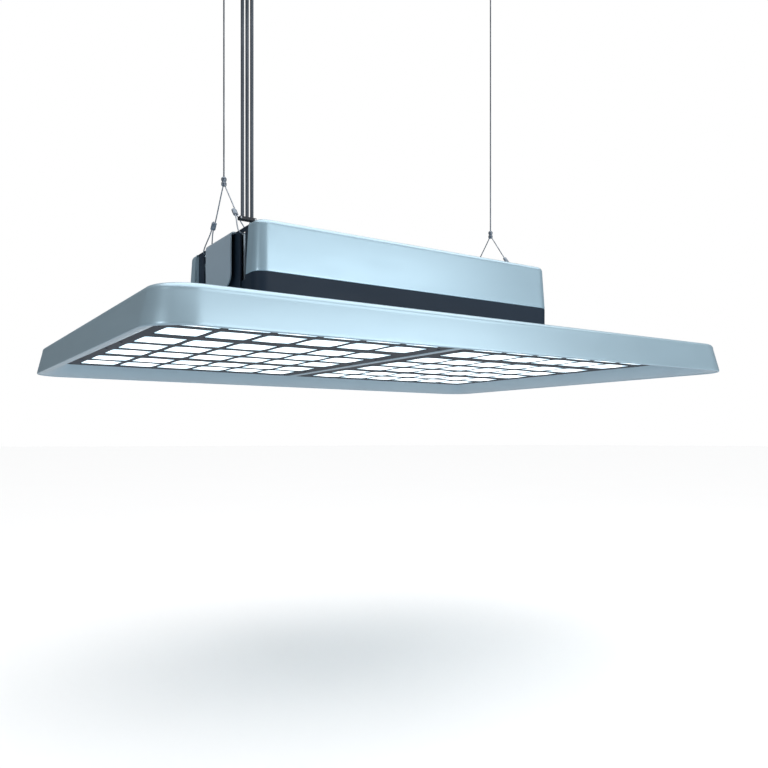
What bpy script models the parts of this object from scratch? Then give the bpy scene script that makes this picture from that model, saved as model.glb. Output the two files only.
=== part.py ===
"""LED grow light for a greenhouse, hung from the ceiling on two steel wire bridles.

Metres, +Z up, +X along the light. The origin lies on the ceiling, midway between the two
wire fittings. Heights of the light are counted up from the tray's lower edge, at RIM_Z.
"""

import math

import bmesh
import bpy
from mathutils import Vector

# Whole light
TRAY_LENGTH = 1.000
TRAY_WIDTH = 0.750
HANGING_DROP = 0.790  # from the ceiling down to the tray's lower edge
GAP = 0.0003  # between pieces that rest on each other
FIT = 0.0005  # round a wire in its hole

# Tray, bezel and LED panel
TRAY_HEIGHT = 0.0475
TRAY_WALL = 0.003
TRAY_DRAFT = 0.010
TRAY_CORNER = 0.052
TRAY_FILLET = 0.0075
BEZEL_REACH_X = 0.0457  # from the tray's edge in to the LED panel
BEZEL_REACH_Y = 0.0497
BEZEL_SHEET = 0.002
BEZEL_CORNER = 0.014
PANEL_HEIGHT = 0.0204
FRAME_THICKNESS = 0.004
CENTRE_STRIP = 0.013
WINDOW_X = 0.058
WINDOW_Y = 0.0633
COLUMN_PITCH = 0.068
ROW_PITCH = 0.084
ROW_GROUP_STEP = 0.097  # from the last row of a group to the first of the next
FIRST_COLUMN = 0.0637  # the first column's centre, from the light's centre line
EDGE_BORDER = 0.0150
MODULE_CORNER = 0.012
SEAL_INSET = 0.001
SEAL_WIDTH = 0.008
DIFFUSER_THICKNESS = 0.002
LENS_SETBACK = 0.0004  # from the frame's face up to a lens
BOARD_THICKNESS = 0.0016
BOARD_HEIGHT = 0.0330
CHIP_SIZE = 0.030
CHIP_THICKNESS = 0.0022
SPREADER_THICKNESS = 0.003
SPREADER_RIB = 0.003
SPREADER_RIBS = 13
LEAD_RADIUS = 0.0025
LEAD_PASS = 0.008
LEAD_X = 0.060

# Driver housing on top of the tray
BOX_LENGTH = 0.577
BOX_WIDTH = 0.298
BASE_TOP = 0.122
BOX_TOP = 0.1987
BOX_CORNER = 0.0195
COVER_FILLET = 0.008
COVER_DRAFT = 0.0045
BOX_SHEET = 0.0025
SPINE_WIDTH = 0.106
SPINE_SHEET = 0.002
SPINE_BEND = 0.006
SPINE_FOOT = 0.1175
SPINE_FOOT_RADIUS = 0.020
SPINE_FLANGE_ROOM = 0.010  # from an end plate to a flange
CHANNEL_WIDTH = 0.059
END_WALL_SETBACK = 0.0105  # from the housing's end face in to the middle of the end wall
END_WALL_SHEET = 0.0025
SLOT_WIDTH = 0.0205
DRIVER_CLEARANCE = 0.014  # from the end wall to a driver's end cap
DRIVER_CAP = 0.008
DRIVER_SIDE_ROOM = 0.002
DRIVER_BODY = 0.043
DRIVER_FINS = 7
FIN_HEIGHT = 0.022
FIN_THICKNESS = 0.0025
TERMINAL_BOX_LENGTH = 0.060
TERMINAL_BOX_WIDTH = 0.026
TERMINAL_BOX_TOP = 0.180
TERMINAL_BOX_ROOM = 0.006  # from the terminal box to the front driver's cap
SLOT_FOOT = 0.012  # from the tray up to a slot's lower end
SLOT_CORNER = 0.004

# Suspension
EYE_SPREAD = 0.156  # between the two wire loops of a bridle
EYE_HEIGHT = 0.191
APEX_HEIGHT = 0.2835
FERRULE_LENGTH = 0.0145
FERRULE_RADIUS = 0.0042
MAIN_WIRE = 0.00125  # radius
LEG_WIRE = 0.001  # radius
LOOP_RADIUS = 0.0062
STRAND_OFFSET = 0.0015
SLEEVE_LENGTH = 0.013
SLEEVE_AT = 0.045  # from the loop's eye up to the sleeve's lower end, along the leg
BALL_RADIUS = 0.004
NUT_RADIUS = 0.008
NUT_LENGTH = 0.017
NUT_FLOOR = 0.003
NUT_MOUTH = 0.0032
CEILING_DISC = 0.015
CEILING_DISC_THICKNESS = 0.004
BOSS_RADIUS = 0.006
BOSS_LENGTH = 0.007
SCREW_HOLE = 0.0022  # radius
NUT_CHAMFER = 0.004
BALL_ROOM = 0.0006

# Power cords
CORD_RADIUS = 0.0026
CORD_PITCH = 0.0074
CORD_ROW_X = -0.277
CORD_ROW_Y = -(EYE_SPREAD / 2 + 0.012)
CLAMP_TOP = 0.2115
CLAMP_THICKNESS = 0.005
CLAMP_LENGTH = 0.027
CLAMP_WIDTH = 0.010
GLAND_X = -0.2695
GLAND_RADIUS = 0.0040
CEILING_PLATE_LENGTH = 0.056
CEILING_PLATE_WIDTH = 0.036
CEILING_PLATE_THICKNESS = 0.003
CEILING_CLAMP_LENGTH = 0.020
CEILING_CLAMP_HEIGHT = 0.018
CORD_END_GAP = 0.0004

RIM_Z = -HANGING_DROP
HALF_X, HALF_Y = TRAY_LENGTH / 2, TRAY_WIDTH / 2
PANEL_X, PANEL_Y = HALF_X - BEZEL_REACH_X, HALF_Y - BEZEL_REACH_Y
BOX_X, BOX_Y = BOX_LENGTH / 2, BOX_WIDTH / 2
WALL_X = BOX_X - END_WALL_SETBACK
COVER_Y = SPINE_WIDTH / 2 + CHANNEL_WIDTH
CHANNEL_Y = SPINE_WIDTH / 2 + CHANNEL_WIDTH / 2
FRAME_TOP = PANEL_HEIGHT + FRAME_THICKNESS
SPREADER_Z = BOARD_HEIGHT + BOARD_THICKNESS + GAP
BALL_Z = -(CEILING_DISC_THICKNESS + GAP + NUT_LENGTH - NUT_FLOOR) + math.sqrt(
    BALL_RADIUS**2 - NUT_MOUTH**2
) + GAP

PAINT = ("painted_blue", (0.50, 0.66, 0.76), 0.38, 0.35)
SPINE_PAINT = ("painted_slate", (0.24, 0.31, 0.38), 0.45, 0.30)
NAVY = ("dark_housing", (0.032, 0.050, 0.078), 0.50, 0.20)
FRAME_NAVY = ("window_frame_navy", (0.050, 0.066, 0.092), 0.45, 0.10)
FROSTED = ("frosted_diffuser", (0.86, 0.93, 0.96), 0.30, 0.0)
BOARD = ("circuit_board_white", (0.80, 0.82, 0.82), 0.50, 0.0)
ALUMINIUM = ("bare_aluminium", (0.62, 0.64, 0.66), 0.40, 0.90)
STEEL = ("steel_wire", (0.42, 0.46, 0.50), 0.35, 0.95)
CRIMP = ("crimp_metal", (0.22, 0.25, 0.29), 0.40, 0.90)
NICKEL = ("nickel_fitting", (0.60, 0.62, 0.64), 0.25, 0.95)
CORD = ("cord_grey", (0.060, 0.075, 0.095), 0.55, 0.0)
BLACK = ("black_plastic", (0.016, 0.020, 0.030), 0.50, 0.0)
SEAL = ("silicone_seal", (0.05, 0.05, 0.055), 0.70, 0.0)


def clear_scene():
    for item in list(bpy.data.objects):
        bpy.data.objects.remove(item)


def material(finish):
    name, colour, roughness, metallic = finish
    found = bpy.data.materials.get(name)
    if found:
        return found
    made = bpy.data.materials.new(name)
    made.use_nodes = True
    shader = made.node_tree.nodes["Principled BSDF"]
    shader.inputs["Base Color"].default_value = (*colour, 1.0)
    shader.inputs["Roughness"].default_value = roughness
    shader.inputs["Metallic"].default_value = metallic
    return made


def link(name, data, finish):
    item = bpy.data.objects.new(name, data)
    bpy.context.scene.collection.objects.link(item)
    data.materials.append(material(finish))
    return item


def solid(name, bm, finish, smooth=False):
    """An object from a bmesh of closed bodies, with its faces turned outwards."""
    bmesh.ops.recalc_face_normals(bm, faces=bm.faces)
    mesh = bpy.data.meshes.new(name)
    bm.to_mesh(mesh)
    bm.free()
    if smooth:
        mesh.shade_smooth()
        mesh.set_sharp_from_angle(angle=math.radians(35))
    return link(name, mesh, finish)


def add_box(bm, low, high):
    """A box between two corners."""
    made = bmesh.ops.create_cube(bm, size=1.0)
    for v in made["verts"]:
        v.co = Vector([low[i] if v.co[i] < 0 else high[i] for i in range(3)])
    return made["verts"]


def box(name, low, high, finish):
    bm = bmesh.new()
    add_box(bm, low, high)
    return solid(name, bm, finish)


def outline(half_x, half_y, corner, z, centre=(0.0, 0.0), steps=6):
    """A level rectangle with round corners, anticlockwise from above."""
    points = []
    corners = ((1, 1, 0), (-1, 1, 90), (-1, -1, 180), (1, -1, 270))
    for sx, sy, start in corners:
        for k in range(steps + 1):
            a = math.radians(start + 90 * k / steps)
            x = centre[0] + sx * (half_x - corner) + corner * math.cos(a)
            y = centre[1] + sy * (half_y - corner) + corner * math.sin(a)
            points.append(Vector((x, y, z)))
    return points


def add_loft(bm, rings, closed=False):
    """Skins a row of rings with equal counts. A closed loft joins its last ring to its first."""
    rows = [[bm.verts.new(p) for p in ring] for ring in rings]
    pairs = list(zip(rows, rows[1:]))
    if closed:
        pairs.append((rows[-1], rows[0]))
    for low, high in pairs:
        for k in range(len(low)):
            n = (k + 1) % len(low)
            bm.faces.new((low[k], low[n], high[n], high[k]))
    if not closed:
        bm.faces.new(rows[0])
        bm.faces.new(rows[-1])


def add_turned(bm, profile, centre, sides=24):
    """Turns (radius, z) points round a vertical axis. A radius of 0 closes on the axis."""
    rows = []
    for radius, z in profile:
        if radius == 0:
            rows.append([bm.verts.new((centre[0], centre[1], z))])
            continue
        row = []
        for k in range(sides):
            a = 2 * math.pi * k / sides
            x, y = centre[0] + radius * math.cos(a), centre[1] + radius * math.sin(a)
            row.append(bm.verts.new((x, y, z)))
        rows.append(row)
    pairs = list(zip(rows, rows[1:]))
    if len(rows[0]) > 1:
        pairs.append((rows[-1], rows[0]))
    for one, two in pairs:
        for k in range(sides):
            n = (k + 1) % sides
            if len(one) == 1:
                bm.faces.new((one[0], two[k], two[n]))
            elif len(two) == 1:
                bm.faces.new((one[k], one[n], two[0]))
            else:
                bm.faces.new((one[k], one[n], two[n], two[k]))


def turned(name, profile, centre, finish, sides=24):
    bm = bmesh.new()
    add_turned(bm, profile, centre, sides)
    return solid(name, bm, finish, smooth=True)


def add_extruded(bm, profile, low, high, along):
    """Extrudes a flat outline along X or Y. The outline gives the other two coordinates."""
    def place(p, at):
        return (at, p[0], p[1]) if along == "X" else (p[0], at, p[1])

    add_loft(bm, [[Vector(place(p, at)) for p in profile] for at in (low, high)])


def tube(name, points, radius, finish):
    """A round wire or cord through the points, with flat closed ends."""
    data = bpy.data.curves.new(name, "CURVE")
    data.dimensions = "3D"
    data.bevel_depth = radius
    data.bevel_resolution = 2
    data.use_fill_caps = True
    spline = data.splines.new("POLY")
    spline.points.add(len(points) - 1)
    for target, p in zip(spline.points, points):
        target.co = (*p, 1.0)
    return link(name, data, finish)


def cutter(name, bm):
    """A helper solid that shapes another one and isn't a piece itself."""
    item = solid(name, bm, NAVY)
    item.hide_render = True
    item.display_type = "WIRE"
    return item


def shape(item, helper, operation):
    """Cuts an object with a helper solid, or joins the helper to it."""
    change = item.modifiers.new(helper.name, "BOOLEAN")
    change.operation = operation
    change.solver = "EXACT"
    change.object = helper


def arc(radius, start, end, steps):
    """Points on a circle about (0, 0), in degrees from the first axis."""
    angles = [math.radians(start + (end - start) * k / steps) for k in range(steps + 1)]
    return [(radius * math.cos(a), radius * math.sin(a)) for a in angles]


def shell(name, half_x, half_y, corner, low, high, wall, draft, fillet, finish):
    """A hood: leaning walls, a rounded upper edge and a flat top, open below."""
    height = high - low
    if fillet:
        lean = draft * (height - fillet) / height
        outer = [(0.0, low)]
        outer += [(lean + fillet - dx, high - fillet + dz) for dx, dz in arc(fillet, 0, 90, 4)]
        inner_fillet = max(fillet - wall, 0.001)
        inner = [(wall, low)]
        inner += [
            (lean + wall + inner_fillet - dx, high - wall - inner_fillet + dz)
            for dx, dz in arc(inner_fillet, 0, 90, 3)
        ]
    else:
        outer = [(0.0, low), (draft, high)]
        inner = [(wall, low), (draft + wall, high - wall)]
    path = inner[::-1] + outer
    bm = bmesh.new()
    add_loft(bm, [
        outline(half_x - inset, half_y - inset, corner - inset * 0.6, RIM_Z + z)
        for inset, z in path
    ])
    return solid(name, bm, finish, smooth=True)


def pass_hole(item, x, y, low, high):
    """A round hole for an LED lead, cut through a level plate."""
    bm = bmesh.new()
    profile = [(0, RIM_Z + low), (LEAD_PASS, RIM_Z + low), (LEAD_PASS, RIM_Z + high),
               (0, RIM_Z + high)]
    add_turned(bm, profile, (x, y), sides=12)
    shape(item, cutter(f"{item.name}_pass_{len(item.modifiers)}", bm), "DIFFERENCE")


def ribbed(start, end, low, deck, top, count, thickness):
    """The outline of a plate with upright ribs, one of them along each edge."""
    profile = [(start, low), (end, low)]
    pitch = (end - start - thickness) / (count - 1)
    for k in reversed(range(count)):
        near = start + pitch * k
        far = near + thickness
        if k < count - 1:
            profile.append((far, deck))
        profile += [(far, top), (near, top)]
        if k > 0:
            profile.append((near, deck))
    return profile


# The light head: tray, bezel, two LED modules


def make_tray():
    tray = shell("tray_shell", HALF_X, HALF_Y, TRAY_CORNER, 0.0, TRAY_HEIGHT, TRAY_WALL,
                 TRAY_DRAFT, TRAY_FILLET, PAINT)
    for side in (-1, 1):
        pass_hole(tray, side * LEAD_X, 0.0, TRAY_HEIGHT - 0.01, TRAY_HEIGHT + 0.01)


def make_bezel():
    """A hollow-faced frame that rises from the tray's edge to the LED panel."""
    edge = 0.001
    lean = TRAY_DRAFT * (edge + BEZEL_SHEET) / TRAY_HEIGHT
    outer_x = HALF_X - TRAY_WALL - lean - GAP
    outer_y = HALF_Y - TRAY_WALL - lean - GAP
    lip_top = SPREADER_Z - GAP

    def ring(t, z):
        half_x = outer_x + (PANEL_X + GAP - outer_x) * t
        half_y = outer_y + (PANEL_Y + GAP - outer_y) * t
        corner = TRAY_CORNER + (BEZEL_CORNER - TRAY_CORNER) * t
        return outline(half_x, half_y, corner, RIM_Z + z)

    def slope(t):
        return edge + (PANEL_HEIGHT - edge) * t**1.5

    steps = 4
    face = [ring(k / steps, slope(k / steps)) for k in range(steps + 1)]
    lip_x, lip_y = PANEL_X + GAP, PANEL_Y + GAP
    lip = [outline(lip_x, lip_y, BEZEL_CORNER, RIM_Z + lip_top),
           outline(lip_x + BEZEL_SHEET, lip_y + BEZEL_SHEET, BEZEL_CORNER + BEZEL_SHEET,
                   RIM_Z + lip_top)]
    inset = BEZEL_SHEET / (outer_x - PANEL_X)
    back = [ring(t, slope(t) + BEZEL_SHEET) for t in (1 - inset, 0.5, 0.0)]
    bm = bmesh.new()
    add_loft(bm, face + lip + back, closed=True)
    return solid("inner_bezel", bm, PAINT, smooth=True)


def module_box(side):
    """The near and far X of one LED module, and its half width in Y."""
    near = CENTRE_STRIP / 2 + GAP
    return (side * near, side * (PANEL_X - GAP), PANEL_Y - GAP)


def window_centres():
    """As many columns as fit from the centre line out, and three middle rows with as many
    more on either side as fit."""
    room = PANEL_X - GAP - EDGE_BORDER - WINDOW_X / 2 - FIRST_COLUMN
    columns = [FIRST_COLUMN + COLUMN_PITCH * k for k in range(int(room / COLUMN_PITCH) + 1)]
    outer = ROW_PITCH + ROW_GROUP_STEP
    room = PANEL_Y - GAP - EDGE_BORDER - WINDOW_Y / 2 - outer
    half = [ROW_PITCH] + [outer + ROW_PITCH * k for k in range(int(room / ROW_PITCH) + 1)]
    rows = [-y for y in half[::-1]] + [0.0] + half
    return columns, rows


def make_window_frame(name, side):
    near, far, half_y = module_box(side)
    columns, rows = window_centres()
    xs = sorted([near, far] + [side * (c + e * WINDOW_X / 2) for c in columns for e in (-1, 1)])
    ys = sorted([-half_y, half_y] + [r + e * WINDOW_Y / 2 for r in rows for e in (-1, 1)])
    bm = bmesh.new()
    grid = {}
    for level, z in enumerate((RIM_Z + PANEL_HEIGHT, RIM_Z + FRAME_TOP)):
        for i, x in enumerate(xs):
            for j, y in enumerate(ys):
                grid[level, i, j] = bm.verts.new((x, y, z))

    def window(i, j):
        inside = 0 <= i < len(xs) - 1 and 0 <= j < len(ys) - 1
        return not inside or (i % 2 == 1 and j % 2 == 1)

    for i in range(len(xs) - 1):
        for j in range(len(ys) - 1):
            if window(i, j):
                continue
            for level in (0, 1):
                corners = ((i, j), (i + 1, j), (i + 1, j + 1), (i, j + 1))
                bm.faces.new([grid[level, a, b] for a, b in corners])
            edges = (((i, j), (i + 1, j), (i, j - 1)), ((i + 1, j), (i + 1, j + 1), (i + 1, j)),
                     ((i + 1, j + 1), (i, j + 1), (i, j + 1)), ((i, j + 1), (i, j), (i - 1, j)))
            for a, b, beyond in edges:
                if window(*beyond):
                    bm.faces.new((grid[0, *a], grid[0, *b], grid[1, *b], grid[1, *a]))
    last_x, last_y = len(xs) - 1, len(ys) - 1
    corners = {grid[0, i, j] for i in (0, last_x) for j in (0, last_y)}
    corners |= {grid[1, i, j] for i in (0, last_x) for j in (0, last_y)}
    upright = [e for e in bm.edges if set(e.verts) <= corners]
    bmesh.ops.bevel(bm, geom=upright, offset=MODULE_CORNER, segments=4, profile=0.5,
                    affect="EDGES")
    return solid(name, bm, FRAME_NAVY)


def module_ring(side, inset, z):
    near, far, half_y = module_box(side)
    half_x = abs(far - near) / 2 - inset
    corner = max(MODULE_CORNER - inset, MODULE_CORNER / 4)
    return outline(half_x, half_y - inset, corner, RIM_Z + z, ((near + far) / 2, 0.0), 3)


def module_plate(name, side, inset, low, high, finish):
    bm = bmesh.new()
    add_loft(bm, [module_ring(side, inset, low), module_ring(side, inset, high)])
    return solid(name, bm, finish)


def blocks(centres, half, low, high):
    """The same block at every centre, between two heights over the rim."""
    bm = bmesh.new()
    for x, y in centres:
        add_box(bm, (x - half[0], y - half[1], RIM_Z + low),
                (x + half[0], y + half[1], RIM_Z + high))
    return bm


def make_led_module(word, side):
    """One half of the LED panel: window frame, diffuser, seal, board and LED modules."""
    make_window_frame(f"{word}_window_frame", side)
    inside = SEAL_INSET + SEAL_WIDTH + GAP
    low = FRAME_TOP + GAP
    diffuser = module_plate(f"{word}_diffuser", side, inside, low, low + DIFFUSER_THICKNESS,
                            FROSTED)
    columns, rows = window_centres()
    centres = [(side * column, y) for column in columns for y in rows]
    across = (WINDOW_X / 2 - FIT, WINDOW_Y / 2 - FIT)
    lenses = blocks(centres, across, PANEL_HEIGHT + LENS_SETBACK, low + DIFFUSER_THICKNESS / 2)
    shape(diffuser, cutter(f"{word}_lenses", lenses), "UNION")
    top = SPREADER_Z - GAP
    bm = bmesh.new()
    outer, inner = SEAL_INSET, SEAL_INSET + SEAL_WIDTH
    add_loft(bm, [module_ring(side, outer, low), module_ring(side, outer, top),
                  module_ring(side, inner, top), module_ring(side, inner, low)], closed=True)
    solid(f"{word}_panel_seal", bm, SEAL)
    board_top = BOARD_HEIGHT + BOARD_THICKNESS
    board = module_plate(f"{word}_led_board", side, inside, BOARD_HEIGHT, board_top, BOARD)
    chips = blocks(centres, (CHIP_SIZE / 2, CHIP_SIZE / 2), BOARD_HEIGHT - CHIP_THICKNESS,
                   BOARD_HEIGHT + BOARD_THICKNESS / 2)
    shape(board, cutter(f"{word}_chips", chips), "UNION")


def make_centre_strip():
    half = CENTRE_STRIP / 2
    reach = PANEL_Y - GAP
    low = (-half, -reach, RIM_Z + PANEL_HEIGHT - 0.001)
    box("centre_strip", low, (half, reach, RIM_Z + SPREADER_Z - GAP), PAINT)


def make_spreader():
    """A ribbed aluminium plate that carries the boards and warms the tray above it."""
    top = RIM_Z + TRAY_HEIGHT - TRAY_WALL - GAP
    low = RIM_Z + SPREADER_Z
    deck = low + SPREADER_THICKNESS
    profile = ribbed(-PANEL_X, PANEL_X, low, deck, top, SPREADER_RIBS, SPREADER_RIB)
    bm = bmesh.new()
    add_extruded(bm, profile, -PANEL_Y, PANEL_Y, "Y")
    spreader = solid("heat_spreader", bm, ALUMINIUM)
    for side in (-1, 1):
        pass_hole(spreader, side * LEAD_X, 0.0, SPREADER_Z - 0.005, TRAY_HEIGHT)


# The driver housing: base, covers, spine, end walls, drivers


def make_base():
    base = shell("driver_base", BOX_X, BOX_Y, BOX_CORNER, TRAY_HEIGHT + GAP, BASE_TOP,
                 BOX_SHEET, 0.0, 0.0, NAVY)
    notch_x = WALL_X - END_WALL_SHEET / 2 - GAP
    notches = bmesh.new()
    lips = bmesh.new()
    low, high = RIM_Z + TRAY_HEIGHT + GAP, RIM_Z + BASE_TOP
    for side in (-1, 1):
        xs = sorted((side * notch_x, side * (BOX_X + 0.01)))
        add_box(notches, (xs[0], -COVER_Y, low - 0.01), (xs[1], COVER_Y, high + 0.01))
        for row in (-1, 1):
            ys = sorted((row * COVER_Y, row * (COVER_Y + BOX_SHEET)))
            xs = sorted((side * notch_x, side * (BOX_X - BOX_SHEET / 2)))
            add_box(lips, (xs[0], ys[0], low), (xs[1], ys[1], high))
    shape(base, cutter("base_notches", notches), "DIFFERENCE")
    shape(base, cutter("base_lips", lips), "UNION")
    for side in (-1, 1):
        pass_hole(base, side * LEAD_X, side * CHANNEL_Y, BASE_TOP - 0.01, BASE_TOP + 0.01)


def make_cover(name, row):
    """A painted hood cut lengthwise, with a folded lip where it wraps round each end."""
    cover = shell(name, BOX_X, BOX_Y, BOX_CORNER, BASE_TOP + GAP, BOX_TOP, BOX_SHEET,
                  COVER_DRAFT, COVER_FILLET, PAINT)
    away = bmesh.new()
    ys = sorted((row * COVER_Y, -row * (BOX_Y + 0.01)))
    low, high = RIM_Z + BASE_TOP - 0.01, RIM_Z + BOX_TOP + 0.01
    add_box(away, (-BOX_X - 0.01, ys[0], low), (BOX_X + 0.01, ys[1], high))
    shape(cover, cutter(f"{name}_cut", away), "DIFFERENCE")
    lips = bmesh.new()
    ys = sorted((row * COVER_Y, row * (COVER_Y + BOX_SHEET)))
    for side in (-1, 1):
        end = BOX_X - COVER_DRAFT - BOX_SHEET / 2
        xs = sorted((side * (WALL_X - END_WALL_SHEET / 2 - GAP), side * end))
        top = RIM_Z + BOX_TOP - BOX_SHEET / 2
        add_box(lips, (xs[0], ys[0], RIM_Z + BASE_TOP + GAP), (xs[1], ys[1], top))
    shape(cover, cutter(f"{name}_lips", lips), "UNION")


def make_spine():
    """One bent sheet: the housing's top strip, both end plates and an upright flange down
    each long side, which closes the wire channel off from the housing."""
    foot = RIM_Z + SPINE_FOOT
    top = RIM_Z + BOX_TOP
    inner_bend = SPINE_BEND - SPINE_SHEET

    def bent(half, bend, height):
        right = [(half - bend + x, height - bend + z) for x, z in arc(bend, 0, 90, 4)]
        left = [(-half + bend - x, height - bend + z) for x, z in arc(bend, 0, 90, 4)[::-1]]
        return [(half, foot)] + right + left + [(-half, foot)]

    outer = bent(BOX_X, SPINE_BEND, top)
    inner = bent(BOX_X - SPINE_SHEET, inner_bend, top - SPINE_SHEET)
    half_y = SPINE_WIDTH / 2 - GAP
    bm = bmesh.new()
    add_extruded(bm, outer + inner[::-1], -half_y, half_y, "Y")
    feet = [e for e in bm.edges
            if all(abs(v.co.z - foot) < 1e-6 for v in e.verts)
            and abs(e.verts[0].co.y - e.verts[1].co.y) < 1e-6
            and abs(e.verts[0].co.x - e.verts[1].co.x) < 2 * SPINE_SHEET]
    bmesh.ops.bevel(bm, geom=feet, offset=SPINE_FOOT_RADIUS, segments=4, profile=0.5,
                    affect="EDGES")
    spine = solid("spine_cover", bm, SPINE_PAINT, smooth=True)
    flanges = bmesh.new()
    reach = WALL_X - END_WALL_SHEET / 2 - SPINE_FLANGE_ROOM
    for row in (-1, 1):
        ys = sorted((row * (half_y - SPINE_SHEET), row * (half_y - GAP)))
        add_box(flanges, (-reach, ys[0], RIM_Z + BASE_TOP + GAP),
                (reach, ys[1], top - SPINE_SHEET / 2))
    shape(spine, cutter("spine_flanges", flanges), "UNION")


def make_end_wall(name, side):
    """A dark plate set back in the housing's end. The wire loops hang in its two slots."""
    xs = sorted((side * (WALL_X - END_WALL_SHEET / 2), side * (WALL_X + END_WALL_SHEET / 2)))
    half_y = COVER_Y - GAP
    low, high = RIM_Z + TRAY_HEIGHT + 2 * GAP, RIM_Z + BOX_TOP - GAP
    slot_top = RIM_Z + EYE_HEIGHT + LEG_WIRE + FIT
    mid, half = EYE_SPREAD / 2, SLOT_WIDTH / 2
    foot = low + SLOT_FOOT
    top_corner = SLOT_CORNER
    step_y = SPINE_WIDTH / 2 + GAP
    step_z = RIM_Z + BOX_TOP - SPINE_SHEET - GAP
    profile = [(-half_y, low), (half_y, low), (half_y, high), (step_y, high), (step_y, step_z),
               (-step_y, step_z), (-step_y, high), (-half_y, high)]
    bm = bmesh.new()
    add_extruded(bm, profile, xs[0], xs[1], "X")
    wall = solid(name, bm, NAVY)
    slots = bmesh.new()
    for row in (-1, 1):
        centre = row * mid
        left = [(centre - half + top_corner - y, slot_top - top_corner + z)
                for y, z in arc(top_corner, 0, 90, 3)]
        right = [(centre + half - top_corner + y, slot_top - top_corner + z)
                 for y, z in arc(top_corner, 0, 90, 3)[::-1]]
        outline_points = [(centre + half, foot), (centre - half, foot)] + left + right
        add_extruded(slots, outline_points, xs[0] - 0.01, xs[1] + 0.01, "X")
    shape(wall, cutter(f"{name}_slots", slots), "DIFFERENCE")


def driver_span(row):
    """The two ends of a driver with its caps. The terminal box shortens the front one."""
    reach = WALL_X - END_WALL_SHEET / 2 - DRIVER_CLEARANCE
    start = -reach
    if row < 0:
        start = -WALL_X + END_WALL_SHEET / 2 + GAP + TERMINAL_BOX_LENGTH + TERMINAL_BOX_ROOM
    return start, reach


def make_driver(name, row):
    """A potted LED driver in a finned aluminium case, with a plastic cap at each end."""
    start, end = driver_span(row)
    half = CHANNEL_WIDTH / 2 - DRIVER_SIDE_ROOM
    low = RIM_Z + BASE_TOP + GAP
    deck, top = low + DRIVER_BODY, low + DRIVER_BODY + FIN_HEIGHT
    centre = row * CHANNEL_Y
    profile = ribbed(centre - half, centre + half, low, deck, top, DRIVER_FINS, FIN_THICKNESS)
    bm = bmesh.new()
    add_extruded(bm, profile, start + DRIVER_CAP + GAP, end - DRIVER_CAP - GAP, "X")
    solid(name, bm, NAVY)
    for word, a, b in (("left", start, start + DRIVER_CAP), ("right", end - DRIVER_CAP, end)):
        box(f"{name}_{word}_cap", (a, centre - half, low), (b, centre + half, deck), BLACK)


def make_terminal_box():
    """The box where the cords end, under their gland and inside the front channel."""
    x0 = -WALL_X + END_WALL_SHEET / 2 + GAP
    y0 = max(CORD_ROW_Y - TERMINAL_BOX_WIDTH / 2 - 0.008, -COVER_Y + 0.001)
    low = (x0, y0, RIM_Z + BASE_TOP + GAP)
    high = (x0 + TERMINAL_BOX_LENGTH, y0 + TERMINAL_BOX_WIDTH, RIM_Z + TERMINAL_BOX_TOP)
    box("terminal_box", low, high, BLACK)


def make_leads():
    """One lead from each driver, down through the base and the tray to its LED board."""
    for word, side in (("left", -1), ("right", 1)):
        x = side * LEAD_X
        route = [(side * CHANNEL_Y, BASE_TOP + GAP - 0.0006), (side * CHANNEL_Y, 0.108),
                 (side * (CHANNEL_Y - 0.012), 0.095), (side * CHANNEL_Y / 2, 0.086),
                 (side * 0.012, 0.077), (0.0, 0.064), (0.0, SPREADER_Z)]
        points = smooth_path([(x, y, RIM_Z + z) for y, z in route], 0.006)
        tube(f"{word}_led_lead", points, LEAD_RADIUS, BLACK)


def smooth_path(route, spacing):
    """Evenly spaced points on the Catmull-Rom curve through a route."""
    route = [Vector(p) for p in route]
    ends = [2 * route[0] - route[1]] + route + [2 * route[-1] - route[-2]]
    fine = []
    for p0, p1, p2, p3 in zip(ends, ends[1:], ends[2:], ends[3:]):
        for k in range(20):
            t = k / 20
            fine.append(0.5 * (2 * p1 + (p2 - p0) * t + (2 * p0 - 5 * p1 + 4 * p2 - p3) * t**2
                               + (3 * p1 - 3 * p2 + p3 - p0) * t**3))
    fine.append(route[-1])
    total = sum((b - a).length for a, b in zip(fine, fine[1:]))
    count = max(2, round(total / spacing))
    points, walked, target = [fine[0]], 0.0, total / count
    for a, b in zip(fine, fine[1:]):
        step = (b - a).length
        while walked + step >= target - 1e-9 and len(points) < count:
            points.append(a.lerp(b, (target - walked) / step))
            target += total / count
        walked += step
    return points + [fine[-1]]


# The suspension: two wire bridles, their main wires and the ceiling fittings


def leg_frame(side, row):
    """The eye of a leg, the direction up the leg, and its whole length to the ferrule."""
    eye = Vector((side * WALL_X, row * EYE_SPREAD / 2, RIM_Z + EYE_HEIGHT))
    apex = Vector((side * WALL_X, row * FERRULE_RADIUS * 0.4, RIM_Z + APEX_HEIGHT - LEG_WIRE))
    up = apex - eye
    return eye, up.normalized(), up.length


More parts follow.
